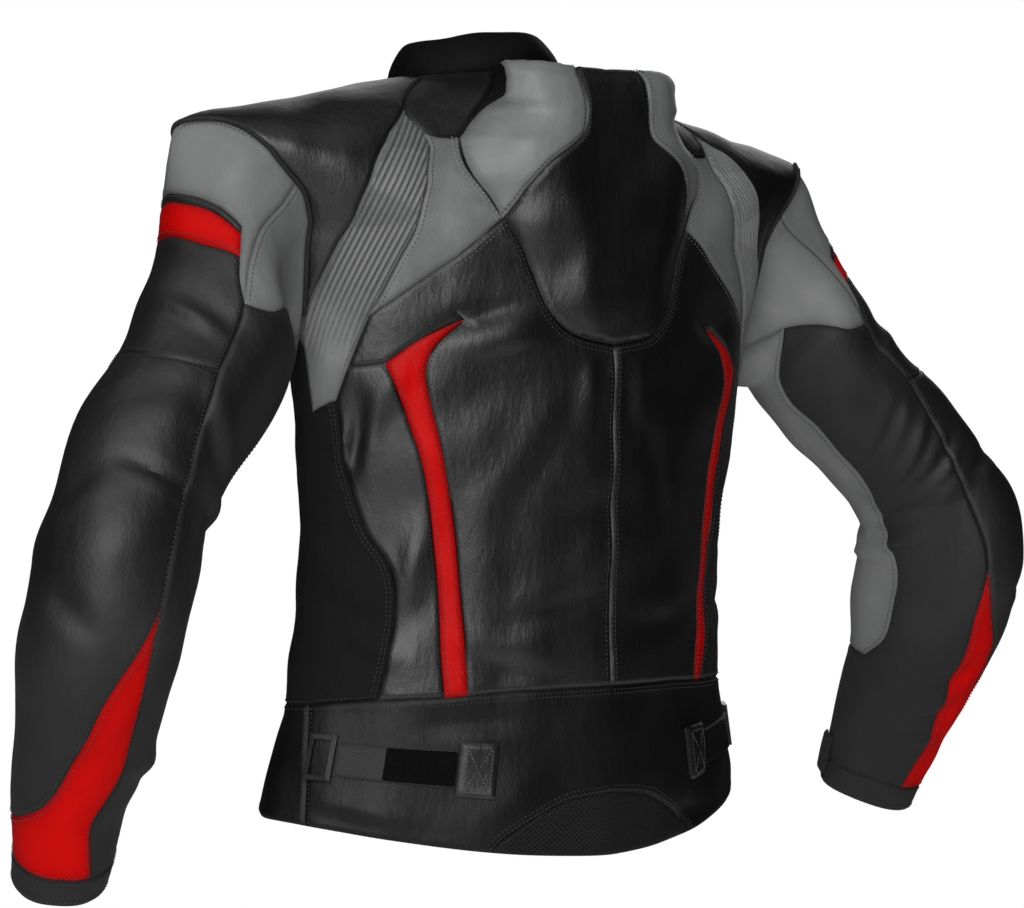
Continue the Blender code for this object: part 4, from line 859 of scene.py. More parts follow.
class Panel:
    """One cut piece on a surface: a sheet with a wall, or a solid down to the back."""

    def __init__(self, surface, loop, hand, rise=no_rise, base=0.0, wall=LEATHER_WALL, solid=False):
        self.surface = surface
        self.loop = loop
        self.hand = hand
        self.rise = rise
        self.base = base
        self.wall = wall
        self.solid = solid
        self.outline = loop.outline()

    def gaps(self, places):
        """Distance of each place from the panel's edge, in metres in space."""
        edge = self.surface.shape(self.loop.places[:, 0], self.loop.places[:, 1])
        return np.linalg.norm(nearest(self.surface.shape(places[:, 0], places[:, 1]), edge), axis=1)

    def raised(self, places, gap, normals):
        """Outer points and inner points, before the mirror."""
        skin = self.surface.shape(places[:, 0], places[:, 1])
        push = self.surface.normals(places) * self.surface.push(places, self.hand)[:, None]
        profile = normals * (seam_profile(gap) + self.base)[:, None]
        outer = skin + push + profile + self.rise(places, gap)
        if self.solid:
            return outer, torso_shape(places[:, 0], places[:, 1]) - TORSO.normals(places) * self.wall
        return outer, outer - normals * self.wall

    def mesh(self, name, step=CLOTH_STEP, inner=None):
        """Outer and inner skins joined by a rim, with slots 0 outside, 1 inside and 2 on a solid's rim."""
        scale = np.array((self.surface.scale, 1.0))
        edge = len(self.outline)
        if inner is None:
            rings = beside_seams(self.surface, self.loop, SEAM_RINGS)
            inner = np.vstack((rings, filling(self.outline, step, SEAM_RINGS[-1] + step * 0.45)))
        faces = triangles_in(self.outline, inner)
        places = np.vstack((self.loop.places, inner / scale)) if len(inner) else self.loop.places
        gap = np.concatenate((np.zeros(edge), self.gaps(inner / scale) if len(inner) else np.zeros(0)))
        normals = self.surface.normals(places)
        normals[:edge] = self.loop.normals()
        outer, under = self.raised(places, gap, normals)
        count = len(places)
        points = np.vstack((outer, under)) * np.array((self.hand, 1, 1))
        here = np.arange(edge)
        ahead = (here + 1) % edge
        rim = np.stack((here, ahead, ahead + count, here + count), axis=1)
        facing = self.surface.facing * self.hand
        if facing < 0:
            faces = faces[:, ::-1]
        if area_of(self.outline) * facing > 0:
            rim = rim[:, ::-1]
        all_faces = faces.tolist() + (faces[:, ::-1] + count).tolist() + rim.tolist()
        mesh = bpy.data.meshes.new(name)
        mesh.from_pydata(points.tolist(), [], all_faces)
        slots = np.zeros(len(all_faces), np.int32)
        slots[len(faces):2 * len(faces)] = 1
        slots[2 * len(faces):] = 2 if self.solid else 0
        mesh.polygons.foreach_set("material_index", slots)
        mesh.polygons.foreach_set("use_smooth", np.ones(len(all_faces), bool))
        cut = mesh.uv_layers.new(name="cut")
        corners = np.empty(len(mesh.loops), np.int32)
        mesh.loops.foreach_get("vertex_index", corners)
        flat = np.vstack((places, places))[corners].astype(np.float32) * scale.astype(np.float32)
        cut.data.foreach_set("uv", flat.ravel())
        lift = (self.rise(places, gap) * normals).sum(axis=1)
        # near_seam lets the leather finish paint shade and dirt along the seams
        mark_points(mesh, "near_seam", np.exp(-gap / NEAR_SEAM))
        # lifted lets the leather finish paint shade in the sunken rib valleys
        mark_points(mesh, "lifted", lift * 1000)
        mark_points(mesh, "polish", polish(self.surface, places))
        mesh.set_sharp_from_angle(angle=math.radians(SHARP))
        self.flat_area = float(self.plain_area(places, faces))
        return mesh

    def plain_area(self, places, faces):
        skin = self.surface.shape(places[:, 0], places[:, 1])
        a, b, c = (skin[faces[:, k]] for k in range(3))
        return np.linalg.norm(np.cross(b - a, c - a), axis=1).sum() / 2

    def cut_size(self):
        """Width, length and area of the flat piece that the panel is cut from.

        The widths of stripe, yoke, zip_tape and forearm_wedge are below the real ones.
        """
        first, second = self.surface.slopes(self.loop.places)
        wide = float(np.linalg.norm(first, axis=1).mean())
        tall = float(np.linalg.norm(second, axis=1).mean())
        flat = self.loop.places * np.array((wide, tall))
        sizes = []
        for degrees in range(0, 90, 3):
            cosine, sine = math.cos(math.radians(degrees)), math.sin(math.radians(degrees))
            sizes.append(sorted(np.ptp(flat @ np.array(((cosine, -sine), (sine, cosine))), axis=0).tolist()))
        width, length = min(sizes, key=lambda size: size[0] * size[1])
        even_width = self.flat_area / length
        width = min(max(width, even_width * MOST_FILL), even_width / LEAST_FILL)
        return round(width, 4), round(length, 4), round(self.flat_area, 5)


def polish(surface, places):
    """How far wear has polished the hide: dull down the forearms, bright at elbows and shoulders."""
    if surface is not SLEEVE:
        return np.ones(len(places))
    around, along = places[:, 0], places[:, 1]
    forearm = eased((along - POLISH_ENDS[0]) / (POLISH_ENDS[1] - POLISH_ENDS[0]))
    under = eased((np.cos(np.radians(around - POLISH_UNDER)) - 0.15) / 0.5)
    return POLISH * (1 - np.maximum(forearm, 0.8 * under))


def placed(name, data):
    """A new object in the scene."""
    made = bpy.data.objects.new(name, data)
    bpy.context.scene.collection.objects.link(made)
    return made


def shown(name, mesh, looks, node=None):
    """Puts one piece in the scene on the jacket's body."""
    piece = placed(name, mesh)
    for look in looks:
        mesh.materials.append(FINISHES[look])
    if node:
        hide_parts(node)
    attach(piece, "jacket")
    return piece


def declare_cut(piece, panel, name):
    """Prints a sheet's flat size."""
    width, length, area = panel.cut_size()
    print(f"flat {name}: {width * 1000:.0f} x {length * 1000:.0f} mm, {area * 10000:.0f} cm2")


def sewn(node, look, panel, inner=None):
    """Makes a panel's piece for one node and prints the size of its cut, unless the panel is solid."""
    mesh = panel.mesh(node, inner=inner)
    piece = shown(f"sewn_{node}", mesh, (look, "lining", "black"), node)
    if panel.solid:
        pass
    else:
        declare_cut(piece, panel, node)


# ------------------------------------------------------------------- the finishes


class Value:
    """A shader number that Python's own signs work on."""

    def __init__(self, look, socket):
        self.look = look
        self.socket = socket

    def maths(self, operation, first, second):
        made = self.look.node("ShaderNodeMath", {"operation": operation}, first, second)
        return Value(self.look, made.outputs[0])

    def __add__(self, other):
        return self.maths("ADD", self, other)

    def __radd__(self, other):
        return self.maths("ADD", other, self)

    def __sub__(self, other):
        return self.maths("SUBTRACT", self, other)

    def __rsub__(self, other):
        return self.maths("SUBTRACT", other, self)

    def __mul__(self, other):
        return self.maths("MULTIPLY", self, other)

    def sine(self):
        return self.maths("SINE", self, 0.0)

    def most(self, other):
        return self.maths("MAXIMUM", self, other)


class Look:
    """One finish being made."""

    def __init__(self, name):
        self.material = bpy.data.materials.new(name)
        self.material.use_nodes = True
        self.tree = self.material.node_tree
        self.shader = self.tree.nodes["Principled BSDF"]

    def node(self, kind, settings, *sockets, **named):
        """Makes a node: its settings first, then what goes into its sockets."""
        made = self.tree.nodes.new(kind)
        for key, value in settings.items():
            setattr(made, key, value)
        for key, value in [*enumerate(sockets), *named.items()]:
            socket = made.inputs[key.replace("_", " ") if isinstance(key, str) else key]
            self.feed(socket, value)
        return made

    def feed(self, socket, value):
        value = value.socket if isinstance(value, Value) else value
        if isinstance(value, bpy.types.NodeSocket):
            self.tree.links.new(value, socket)
        else:
            socket.default_value = value

    def places(self):
        return self.node("ShaderNodeTexCoord", {}).outputs["Object"]

    def cut_places(self):
        """The panel's own flat coordinates, in metres."""
        made = self.node("ShaderNodeUVMap", {"uv_map": "cut"})
        split = self.node("ShaderNodeSeparateXYZ", {}, made.outputs[0])
        return Value(self, split.outputs[0]), Value(self, split.outputs[1])

    def mark(self, name):
        made = self.node("ShaderNodeAttribute", {"attribute_name": name})
        return Value(self, made.outputs["Fac"])

    def noise(self, per_metre, detail=3.0, roughness=0.55, squeeze=(1, 1, 1)):
        at = self.node("ShaderNodeMapping", {}, self.places(), Scale=squeeze)
        made = self.node("ShaderNodeTexNoise", {}, Vector=at.outputs[0], Scale=per_metre, Detail=detail,
                         Roughness=roughness)
        return Value(self, made.outputs["Fac"])

    def cells(self, per_metre):
        made = self.node("ShaderNodeTexVoronoi", {"feature": "F1"}, Vector=self.places(), Scale=per_metre,
                         Randomness=1.0)
        return Value(self, made.outputs["Distance"])

    def steps(self, value, low, high):
        """0 up to low, 1 from high on."""
        made = self.node("ShaderNodeMapRange", {"interpolation_type": "SMOOTHSTEP"}, value, low, high)
        return Value(self, made.outputs[0])

    def mixed(self, share, first, second):
        made = self.node("ShaderNodeMix", {"data_type": "RGBA"})
        self.feed(made.inputs[0], share)
        self.feed(made.inputs[6], first)
        self.feed(made.inputs[7], second)
        return made.outputs[2]

    def bumped(self, height, distance, strength, over=None):
        """The normal bent by a height, over another bent normal where there is one."""
        named = {"Height": height, "Distance": distance, "Strength": strength}
        if over is not None:
            named["Normal"] = over
        return self.node("ShaderNodeBump", {}, **named).outputs[0]

    def done(self, colour, roughness, normal=None, **plain):
        self.feed(self.shader.inputs["Base Color"], colour)
        self.feed(self.shader.inputs["Roughness"], roughness)
        if normal is not None:
            self.feed(self.shader.inputs["Normal"], normal)
        for key, value in plain.items():
            self.feed(self.shader.inputs[key.replace("_", " ")], value)
        return self.material


def linear(value):
    """The share of light that an sRGB screen gives for a value from 0 to 255."""
    return ((value / 255 + 0.055) / 1.055) ** 2.4 if value > 10 else value / 255 / 12.92


def rgb(red, green, blue):
    """A colour from 0 to 255 screen values."""
    return linear(red), linear(green), linear(blue), 1


def leather(name, plain, worn, dark, gloss, sheen):
    """Smooth finished hide: pebble grain, slow colour change, rubbed folds, seams darkened by painted shade
    and dirt, and painted shade in sunken rib valleys.

    gloss is its roughness, sheen how much light it reflects, and dark the colour of its painted shade and
    dirt.
    """
    look = Look(name)
    slow = look.noise(14.0, 4.0)
    blotch = look.noise(55.0, 3.0)
    near_seam = look.mark("near_seam")
    lifted = look.mark("lifted")
    pebbles = look.cells(760.0)
    pores = look.noise(2400.0, 2.0)
    creases = look.noise(95.0, 4.0, 0.6, (1.0, 1.0, 0.45))
    rubbed = look.steps(slow + blotch * 0.5, 0.70, 1.02)
    colour = look.mixed(rubbed * 0.55, plain, worn)
    # painted shade and dirt: the colour darkens towards dark along each seam, where the leather dips into it
    colour = look.mixed(near_seam * 0.45, colour, dark)
    # painted shade: places sunk below the surface, the valleys between the ribs, darken towards dark
    colour = look.mixed(look.steps(lifted * -1.0, 0.0, 1.2) * 0.6, colour, dark)
    grain = look.bumped(pebbles * 0.6 + pores * 0.4, 0.00022, 0.55)
    normal = look.bumped(creases, 0.0016, 0.5, grain)
    dull = (1 - look.mark("polish")) * DULL
    roughness = gloss + dull + (slow - 0.5) * 0.16 + (pebbles - 0.4) * 0.08 + near_seam * 0.06
    return look.done(colour, roughness, normal, Specular_IOR_Level=sheen)


def knit(name, plain, lit, ribs_apart):
    """Stretch cloth: fine ribs of loops."""
    look = Look(name)
    across, down = look.cut_places()
    ribs = (across * (2 * math.pi / ribs_apart)).sine()
    loops = (down * (2 * math.pi / (ribs_apart * 0.9)) + ribs * 0.8).sine()
    height = (ribs * 0.35 + loops * 0.2 + 0.5).most(0.0)
    fuzz = look.noise(1900.0, 2.0)
    colour = look.mixed(height * (0.5 + fuzz * 0.5), plain, lit)
    normal = look.bumped(height + fuzz * 0.4, 0.00045, 0.7)
    return look.done(colour, 0.80 + (fuzz - 0.5) * 0.2, normal, Specular_IOR_Level=0.22)


NET_HOLES_APART = 0.0042


def open_mesh(name):
    """Elastic warp mesh: small holes in rows between thick ridges."""
    look = Look(name)
    across, down = look.cut_places()
    turns = 2 * math.pi / NET_HOLES_APART
    rows = (across * turns).sine() * (down * turns).sine()
    holes = look.steps(rows, 0.15, 0.55)
    fuzz = look.noise(1500.0, 2.0)
    colour = look.mixed(holes, rgb(24, 24, 25), rgb(2, 2, 2))
    normal = look.bumped((1 - holes) + fuzz * 0.3, 0.0009, 0.8)
    return look.done(colour, 0.72 + (fuzz - 0.5) * 0.2, normal, Specular_IOR_Level=0.2)


def woven(name, plain, lit, apart):
    """Webbing: diagonal yarns across the strap."""
    look = Look(name)
    across, down = look.cut_places()
    twill = ((across + down) * (2 * math.pi / apart)).sine()
    weft = ((across - down) * (2 * math.pi / (apart * 1.6))).sine()
    height = twill * 0.35 + weft * 0.2 + 0.5
    fuzz = look.noise(2100.0, 2.0)
    colour = look.mixed(height * 0.8, plain, lit)
    normal = look.bumped(height + fuzz * 0.3, 0.0005, 0.75)
    return look.done(colour, 0.66 + (fuzz - 0.5) * 0.25, normal)


def hook_tape(name):
    """The rough half of a hook and loop fastening."""
    look = Look(name)
    hooks = look.cells(1100.0)
    fuzz = look.noise(420.0, 3.0)
    colour = look.mixed(hooks, rgb(3, 3, 3), rgb(14, 14, 15))
    normal = look.bumped(hooks + fuzz, 0.0011, 0.9)
    return look.done(colour, 0.9 + (fuzz - 0.5) * 0.12, normal, Specular_IOR_Level=0.1)


def moulded(name, plain, lit):
    """Fine-grained plastic with long scuffs."""
    look = Look(name)
    fine = look.noise(900.0, 3.0)
    scuffs = look.noise(160.0, 5.0, 0.7, (1.0, 1.0, 0.15))
    colour = look.mixed(look.steps(scuffs, 0.55, 0.8) * 0.5, plain, lit)
    normal = look.bumped(fine, 0.00018, 0.5)
    return look.done(colour, 0.36 + (scuffs - 0.5) * 0.3, normal)


def cast_metal(name):
    """Blackened zip metal, rubbed bright in places."""
    look = Look(name)
    wear = look.noise(260.0, 5.0, 0.7)
    rubbed = look.steps(wear, 0.5, 0.68)
    colour = look.mixed(rubbed, rgb(70, 70, 74), rgb(176, 174, 170))
    normal = look.bumped(look.noise(1200.0, 2.0), 0.0001, 0.5)
    return look.done(colour, 0.42 - rubbed * 0.14, normal, Metallic=0.9)


def sewing_thread(name, plain, lit):
    """Twisted thread, lighter on the twist."""
    look = Look(name)
    twist = look.noise(2600.0, 2.0, 0.5, (1.0, 0.4, 1.0))
    colour = look.mixed(twist, plain, lit)
    return look.done(colour, 0.55 + (twist - 0.5) * 0.3, look.bumped(twist, 0.0002, 0.8))


FINISHES = {
    "black": leather("black_leather", rgb(5, 5, 5), rgb(12, 12, 13), rgb(1, 1, 1), 0.42, 0.62),
    "grey": leather("grey_leather", rgb(108, 109, 109), rgb(124, 125, 124), rgb(46, 47, 47), 0.46, 0.45),
    "red": leather("red_leather", rgb(192, 2, 1), rgb(206, 7, 4), rgb(90, 1, 1), 0.46, 0.10),
    "stretch": knit("stretch_knit", rgb(5, 5, 6), rgb(15, 15, 17), 0.0022),
    "collar": leather("collar_leather", rgb(3, 3, 4), rgb(8, 8, 9), rgb(1, 1, 1), 0.70, 0.14),
    "belt": leather("belt_leather", rgb(4, 4, 4), rgb(10, 10, 11), rgb(1, 1, 1), 0.50, 0.30),
    "lining": knit("lining_knit", rgb(20, 20, 21), rgb(38, 38, 40), 0.0030),
    "mesh": open_mesh("elastic_net"),
    "webbing": woven("strap_webbing", rgb(16, 16, 16), rgb(46, 46, 46), 0.0026),
    "hooks": hook_tape("hook_and_loop"),
    "buckle": moulded("buckle_plastic", rgb(22, 22, 24), rgb(60, 60, 62)),
    "metal": cast_metal("zip_metal"),
    "thread": sewing_thread("sewing_thread", rgb(26, 26, 28), rgb(60, 60, 64)),
    "grey_thread": sewing_thread("grey_thread", rgb(74, 74, 76), rgb(110, 110, 112)),
    "pale_thread": sewing_thread("pale_thread", rgb(120, 120, 121), rgb(160, 160, 160)),
}

# --------------------------------------------------------- body, hump and sleeves

TORSO_SEAMS.update({
    "shoulder_back": (
        RIB_TIP, (43.0, 0.112), (40.3, 0.126), (39.6, 0.142), (42.6, 0.160), (49.8, 0.181),
        (58.2, 0.203), (66, 0.225), armhole(ARMHOLE_BACK),
    ),
    "rib_pit": (armhole(ARMHOLE_PIT), PIT_FOOT),
    "side_fore": (armhole(ARMHOLE_SIDE), (113, 0.330), (111, 0.420), WAIST_FORE),
    "shoulder_front": (FRONT_NECK, (129, 0.060), (124, 0.115), armhole(ARMHOLE_FRONT)),
})

TORSO_PANELS = {
    # name: look, loop of seams
    "neck_panel": ("black", ("collar_back", "neck_side", "neck_rib", "neck_low", "-hump_upper",
                             "-hump_shoulder", "-hump_brow", "-neck_middle")),
    "shoulder": ("black", ("collar_side", "shoulder_front", (ARMHOLE_FRONT, ARMHOLE_BACK),
                           "-shoulder_back", "-neck_side")),
    "yoke": ("grey", ("neck_low", "hump_middle", "yoke_low", "-rib_inner")),
    "back_centre": ("black", ("-hump_lower", "yoke_low", "rib_low", "slant", "stripe_top", "stripe_in",
                              "-waist_middle", "-middle")),
    "stripe": ("red", ("stripe_top", "stripe_in", "waist_stripe", "-stripe_out")),
    "back_side": ("black", ("-slant", "rib_lowest", "side_back", "-waist_side", "-stripe_out")),
    "side_stretch": ("stretch", ("rib_bottom", "-rib_pit", (ARMHOLE_PIT, ARMHOLE_SIDE), "side_fore",
                                 "-waist_fore", "-waist_stretch", "-side_back")),
    "front": ("black", ("collar_front", "zip_upper", "-waist_front", "-side_fore",
                        (ARMHOLE_SIDE, 360 + ARMHOLE_FRONT), "-shoulder_front")),
    "waist_front": ("belt", ("waist_fore", "waist_front", "zip_lower", "-hem_front", "-waist_split")),
    "zip_tape": ("webbing", ("collar_zip", "collar_end", "zip_middle", "-hem_zip", "-zip_lower",
                             "-zip_upper")),
}

SLEEVE_PANELS = {
    "sleeve_cap": ("grey", ((FRONT_SEAM, 75), "cap_back", "-arm_back", "-red_back", "-band_back",
                            "-cap_low", "-cap_front")),
    "sleeve_gusset": ("grey", ((75, 150), "-gusset_pit", "-gusset_low", "-cap_back")),
    "arm_band_black": ("black", ("cap_low", "band_back", "-band_low", "-band_front")),
    "arm_band_red": ("red", ("band_low", "red_back", "-red_low", "-red_front")),
    "upper_arm": ("black", ("red_low", "arm_back", "under_top", "-arm_low", "-arm_front")),
    "elbow": ("black", ("arm_low", "under_arm", "wedge_in", "-elbow_fore", "-elbow_front")),
    "forearm_wedge": ("red", ("wedge_out", "-cuff_out", "-wedge_front", "-wedge_in")),
    "under_arm": ("black", ("gusset_low", "inner_back", "inner_low", "+elbow_fore", "+wedge_front",
                            "-cuff_in", "-wedge_out", "-under_arm", "-under_top")),
    "inner_arm": ("grey", ((150, INSIDE_SEAM), "+cap_front", "+band_front", "+red_front", "+arm_front",
                           "+elbow_front", "-inner_low", "-inner_back", "gusset_pit")),
    "cuff_band": ("black", ("cuff_out", "cuff_in", "+cuff_front", "-cuff_end", "-cuff_front")),
}

HANDS = (("left", 1), ("right", -1))


def sew_pairs(surface, panels):
    for name, (look, parts) in panels.items():
        loop = Loop(surface, parts)
        for hand, sign in HANDS:
            sewn(f"{name}_{hand}", look, Panel(surface, loop, sign))


def sew_waist():
    waist = ("waist_middle", "waist_stripe", "waist_side", "waist_stretch", "waist_split", "-hem_back",
             "-mesh_arc", "~mesh_arc", "~hem_back", "-~waist_split", "-~waist_stretch", "-~waist_side",
             "-~waist_stripe", "-~waist_middle")
    sewn("waist_back", "belt", Panel(TORSO, Loop(TORSO, waist), 1))
    net = ("mesh_arc", "-hem_mesh", "~hem_mesh", "-~mesh_arc")
    sewn("hem_mesh", "mesh", Panel(TORSO, Loop(TORSO, net), 1, wall=NET_WALL))


def seen(places):
    """The torso as it looks from behind the shoulder blade: metres across and up."""
    return torso_shape(places[:, 0], places[:, 1]) @ RIB_VIEW.T


BLADE = (58.0, 0.190)  # a place in the middle of the ribs, where the search starts
SEARCH_STEPS, SEARCH_REACH = 14, (7, 0.02)
SEARCH_LEAST, SEARCH_MOST, FOUND_WITHIN = (0, 0.02), (125, 0.45), 0.0001


def place_of(points):
    """The torso places that look to be at these points, where there are any."""
    places = np.tile(BLADE, (len(points), 1))
    reach = np.array(SEARCH_REACH)
    for _ in range(SEARCH_STEPS):
        sides = np.stack([slope @ RIB_VIEW.T for slope in TORSO.slopes(places)], axis=2)
        steps = np.linalg.solve(sides, (points - seen(places))[..., None])[..., 0]
        places = np.clip(places + np.clip(steps, -reach, reach), SEARCH_LEAST, SEARCH_MOST)
    return places[np.linalg.norm(seen(places) - points, axis=1) < FOUND_WITHIN]


class Ribs:
    """The folded panel over the shoulder blade: even ribs that run down beside its outer edge."""

    def __init__(self):
        shoulder = seam_run(TORSO, "shoulder_back", CLOTH_STEP)[0]
        pit = seam_run(TORSO, (ARMHOLE_BACK, ARMHOLE_PIT), CLOTH_STEP)[0]
        edge = seen(np.vstack((shoulder, pit[1:])))
        bend = np.polyfit(edge[:, 1], edge[:, 0], 3)
        up = np.arange(edge[:, 1].min() - 0.06, edge[:, 1].max() + 0.03, RIB_ALONG)
        self.line = np.stack((np.polyval(bend, up), up), axis=1)
        ways = unit(np.gradient(self.line, axis=0))
        self.inward = np.stack((ways[:, 1], -ways[:, 0]), axis=1)

    def inner(self, outline):
        rows = [self.line + self.inward * (number * RIB_PITCH / RIB_LINES)
                for number in range(-2 * RIB_LINES, 18 * RIB_LINES)]
        points = place_of(np.vstack(rows)) * np.array((TORSO.scale, 1.0))
        points = points[inside(points, outline)]
        return points[np.linalg.norm(nearest(points, outline), axis=1) > RIB_PITCH / RIB_LINES]

    def height(self, places, gap):
        """Round crests and sharp valleys, plainer towards the side."""
        offset = np.linalg.norm(nearest(seen(places), np.vstack((self.line, self.line[::-1]))), axis=1)
        wave = np.abs(np.sin(offset / RIB_PITCH * math.pi))
        fade = np.clip((RIB_END - places[:, 1]) / (RIB_END - RIB_FADE), 0.05, 1)
        return (wave ** 0.8 * RIB_TALL - RIB_SUNK) * fade * eased(gap / 0.004)


def sew_ribs():
    ribs = Ribs()
    parts = ("shoulder_back", (ARMHOLE_BACK, ARMHOLE_PIT), "rib_pit", "-rib_bottom", "-rib_lowest",
             "-rib_low", "-rib_inner", "-neck_rib")
    loop = Loop(TORSO, parts)
    inner = ribs.inner(loop.outline())

    def rise(places, gap):
        return TORSO.normals(places) * ribs.height(places, gap)[:, None]

    for hand, sign in HANDS:
        sewn(f"accordion_{hand}", "grey", Panel(TORSO, loop, sign, rise), inner)


def hump_inner(outline):
    """Rows of points over the foam, closer together at its rounded brow."""
    sides = np.linspace(-HUMP_SIDES, HUMP_SIDES, HUMP_ACROSS)
    brow_end = HUMP_TOP + BROW_ROUND
    drops = np.concatenate((np.arange(HUMP_CORNER[1], brow_end, BROW_ROWS),
                            np.arange(brow_end, HUMP_FOOT[1], HUMP_ROWS)))
    rows = []
    for drop in drops:
        half = hump_half(drop)
        rows.append(np.stack((sides * half * TORSO.scale, np.full(len(sides), drop)), axis=1))
    points = np.vstack(rows)
    points = points[inside(points, outline)]
    return points[np.linalg.norm(nearest(points, outline), axis=1) > 0.0006]


def sew_hump():
    flank = Loop(HUMP, ("hump_shoulder", "hump_upper", "hump_middle", "-strip_edge"))
    inner = hump_inner(flank.outline())
    for hand, sign in HANDS:
        sewn(f"hump_flank_{hand}", "grey", Panel(HUMP, flank, sign, solid=True), inner)
    parts = ("hump_brow", "strip_edge", "hump_lower", "-~hump_lower", "-~strip_edge", "-~hump_brow")
    shield = Loop(HUMP, parts)
    sewn("hump_shield", "black", Panel(HUMP, shield, 1, solid=True), hump_inner(shield.outline()))


def joined(surface, parts, step):
    """Places along seams that follow each other, as one run."""
    runs = [seam_run(surface, part, step)[0] for part in parts]
    return np.vstack([runs[0], *[run[1:] for run in runs[1:]]])


def sew_collar():
    half = joined(TORSO, ("collar_back", "collar_side", "collar_front", "collar_zip"), CLOTH_STEP)
    seam = np.vstack((half[::-1][:-1] * np.array((-1, 1)), half))
    rises = np.linspace(0, COLLAR_TOP, 9)[1:-1]
    front = np.stack((np.full(len(rises), half[-1, 0]), rises), axis=1)
    top = np.stack((seam[::-1, 0], np.full(len(seam), COLLAR_TOP)), axis=1)
    back = np.stack((np.full(len(rises), seam[0, 0]), rises[::-1]), axis=1)
    loop = Loop(COLLAR, places=np.vstack((seam, front, top, back)))
    loop.at_collar[:len(seam)] = True

    def swell(places, _gap):
        share = np.clip(places[:, 1] / COLLAR_TOP, 0, 1)
        return COLLAR.normals(places) * (COLLAR_SWELL * np.sin(share * math.pi))[:, None]

    sewn("collar", "collar", Panel(COLLAR, loop, 1, swell, wall=COLLAR_WALL))


# ----------------------------------------------------------- straps, tabs and zip


def straight_loop(surface, corners, round_by):
    """A loop of straight sides with its corners cut round, for what lies on a panel."""
    scale = np.array((surface.scale, 1.0))
    flat = np.array(corners) * scale
    points = []
    for k, corner in enumerate(flat):
        before, after = flat[k - 1] - corner, flat[(k + 1) % len(flat)] - corner
        start = corner + unit(before) * round_by
        end = corner + unit(after) * round_by
        share = np.linspace(0, 1, 5)[:, None]
        points.append(start * (1 - share) ** 2 + corner * 2 * share * (1 - share) + end * share ** 2)
    points = np.vstack(points)
    ways = np.roll(points, -1, axis=0) - points
    loop = []
    for point, way in zip(points, ways):
        count = max(1, round(float(np.linalg.norm(way)) / LAID_STEP))
        loop.append(point + way * (np.arange(count) / count)[:, None])
    return Loop(surface, places=np.vstack(loop) / scale)


def box_corners(first, second, low, high):
    return [(first, low), (second, low), (second, high), (first, high)]


def adjuster_rows(height):
    """Drops of the upper and lower edge of what lies on the belt, for its height."""
    return ADJUSTER_DROP - height / 2, ADJUSTER_DROP + height / 2


def sew_adjusters():
    low, high = adjuster_rows(STRAP_WIDTH)
    strap = straight_loop(TORSO, box_corners(STRAP_INNER, STRAP_OUTER, low, high), STRAP_CORNER)
    corners = box_corners(STRAP_INNER - HOOKS_PAST, HOOKS_OUTER, low + HOOKS_INSET, high - HOOKS_INSET)
    hooks = straight_loop(TORSO, corners, LAID_CORNER)
    box = straight_loop(TORSO, box_corners(BOX_INNER, BOX_OUTER, *adjuster_rows(BOX_HEIGHT)), LAID_CORNER)
    for hand, sign in HANDS:
        sewn(f"adjuster_strap_{hand}", "webbing", Panel(TORSO, strap, sign, base=LAID_BASE, wall=WEBBING))
        sewn(f"adjuster_box_{hand}", "black", Panel(TORSO, box, sign, base=LAID_BASE, wall=LAID_WALL))
        name = f"hook_patch_{hand}"
        patch = Panel(TORSO, hooks, sign, base=LAID_BASE + HOOKS_LIFT, wall=HOOKS_WALL)
        declare_cut(shown(name, patch.mesh(name, LAID_STEP), ("hooks", "hooks")), patch, name)


def sew_cuff_tabs():
    corners = box_corners(TAB_ROUND - TAB_HALF_ROUND, TAB_ROUND + TAB_HALF_ROUND, TAB_START, TAB_END)
    loop = straight_loop(SLEEVE, corners, LAID_CORNER)
    for hand, sign in HANDS:
        sewn(f"cuff_tab_{hand}", "black", Panel(SLEEVE, loop, sign, base=LAID_BASE, wall=LAID_WALL))


# ------------------------------------------------------ stitching, teeth and piping


def repeated(name, built, frames, looks):
    """One small shape set down at many places: frames holds origin, along, across and up."""
    shape = bpy.data.meshes.new("small_shape")
    bmesh.ops.triangulate(built, faces=built.faces)
    built.to_mesh(shape)
    built.free()
    corners = np.empty(len(shape.vertices) * 3)
    shape.vertices.foreach_get("co", corners)
    corners = corners.reshape(-1, 3)
    faces = np.array([tuple(face.vertices) for face in shape.polygons])
    bpy.data.meshes.remove(shape)
    origin, along, across, up = frames
    points = (origin[:, None] + along[:, None] * corners[:, :1] + across[:, None] * corners[:, 1:2]
              + up[:, None] * corners[:, 2:])
    every = (faces[None] + np.arange(len(origin))[:, None, None] * len(corners)).reshape(-1, 3)
    turned = np.einsum("ij,ij->i", np.cross(along, across), up) < 0
    every = np.where(np.repeat(turned, len(faces))[:, None], every[:, ::-1], every)
    mesh = bpy.data.meshes.new(name)
    mesh.from_pydata(points.reshape(-1, 3).tolist(), [], every.tolist())
    mesh.polygons.foreach_set("use_smooth", np.ones(len(mesh.polygons), bool))
    return shown(name, mesh, looks)


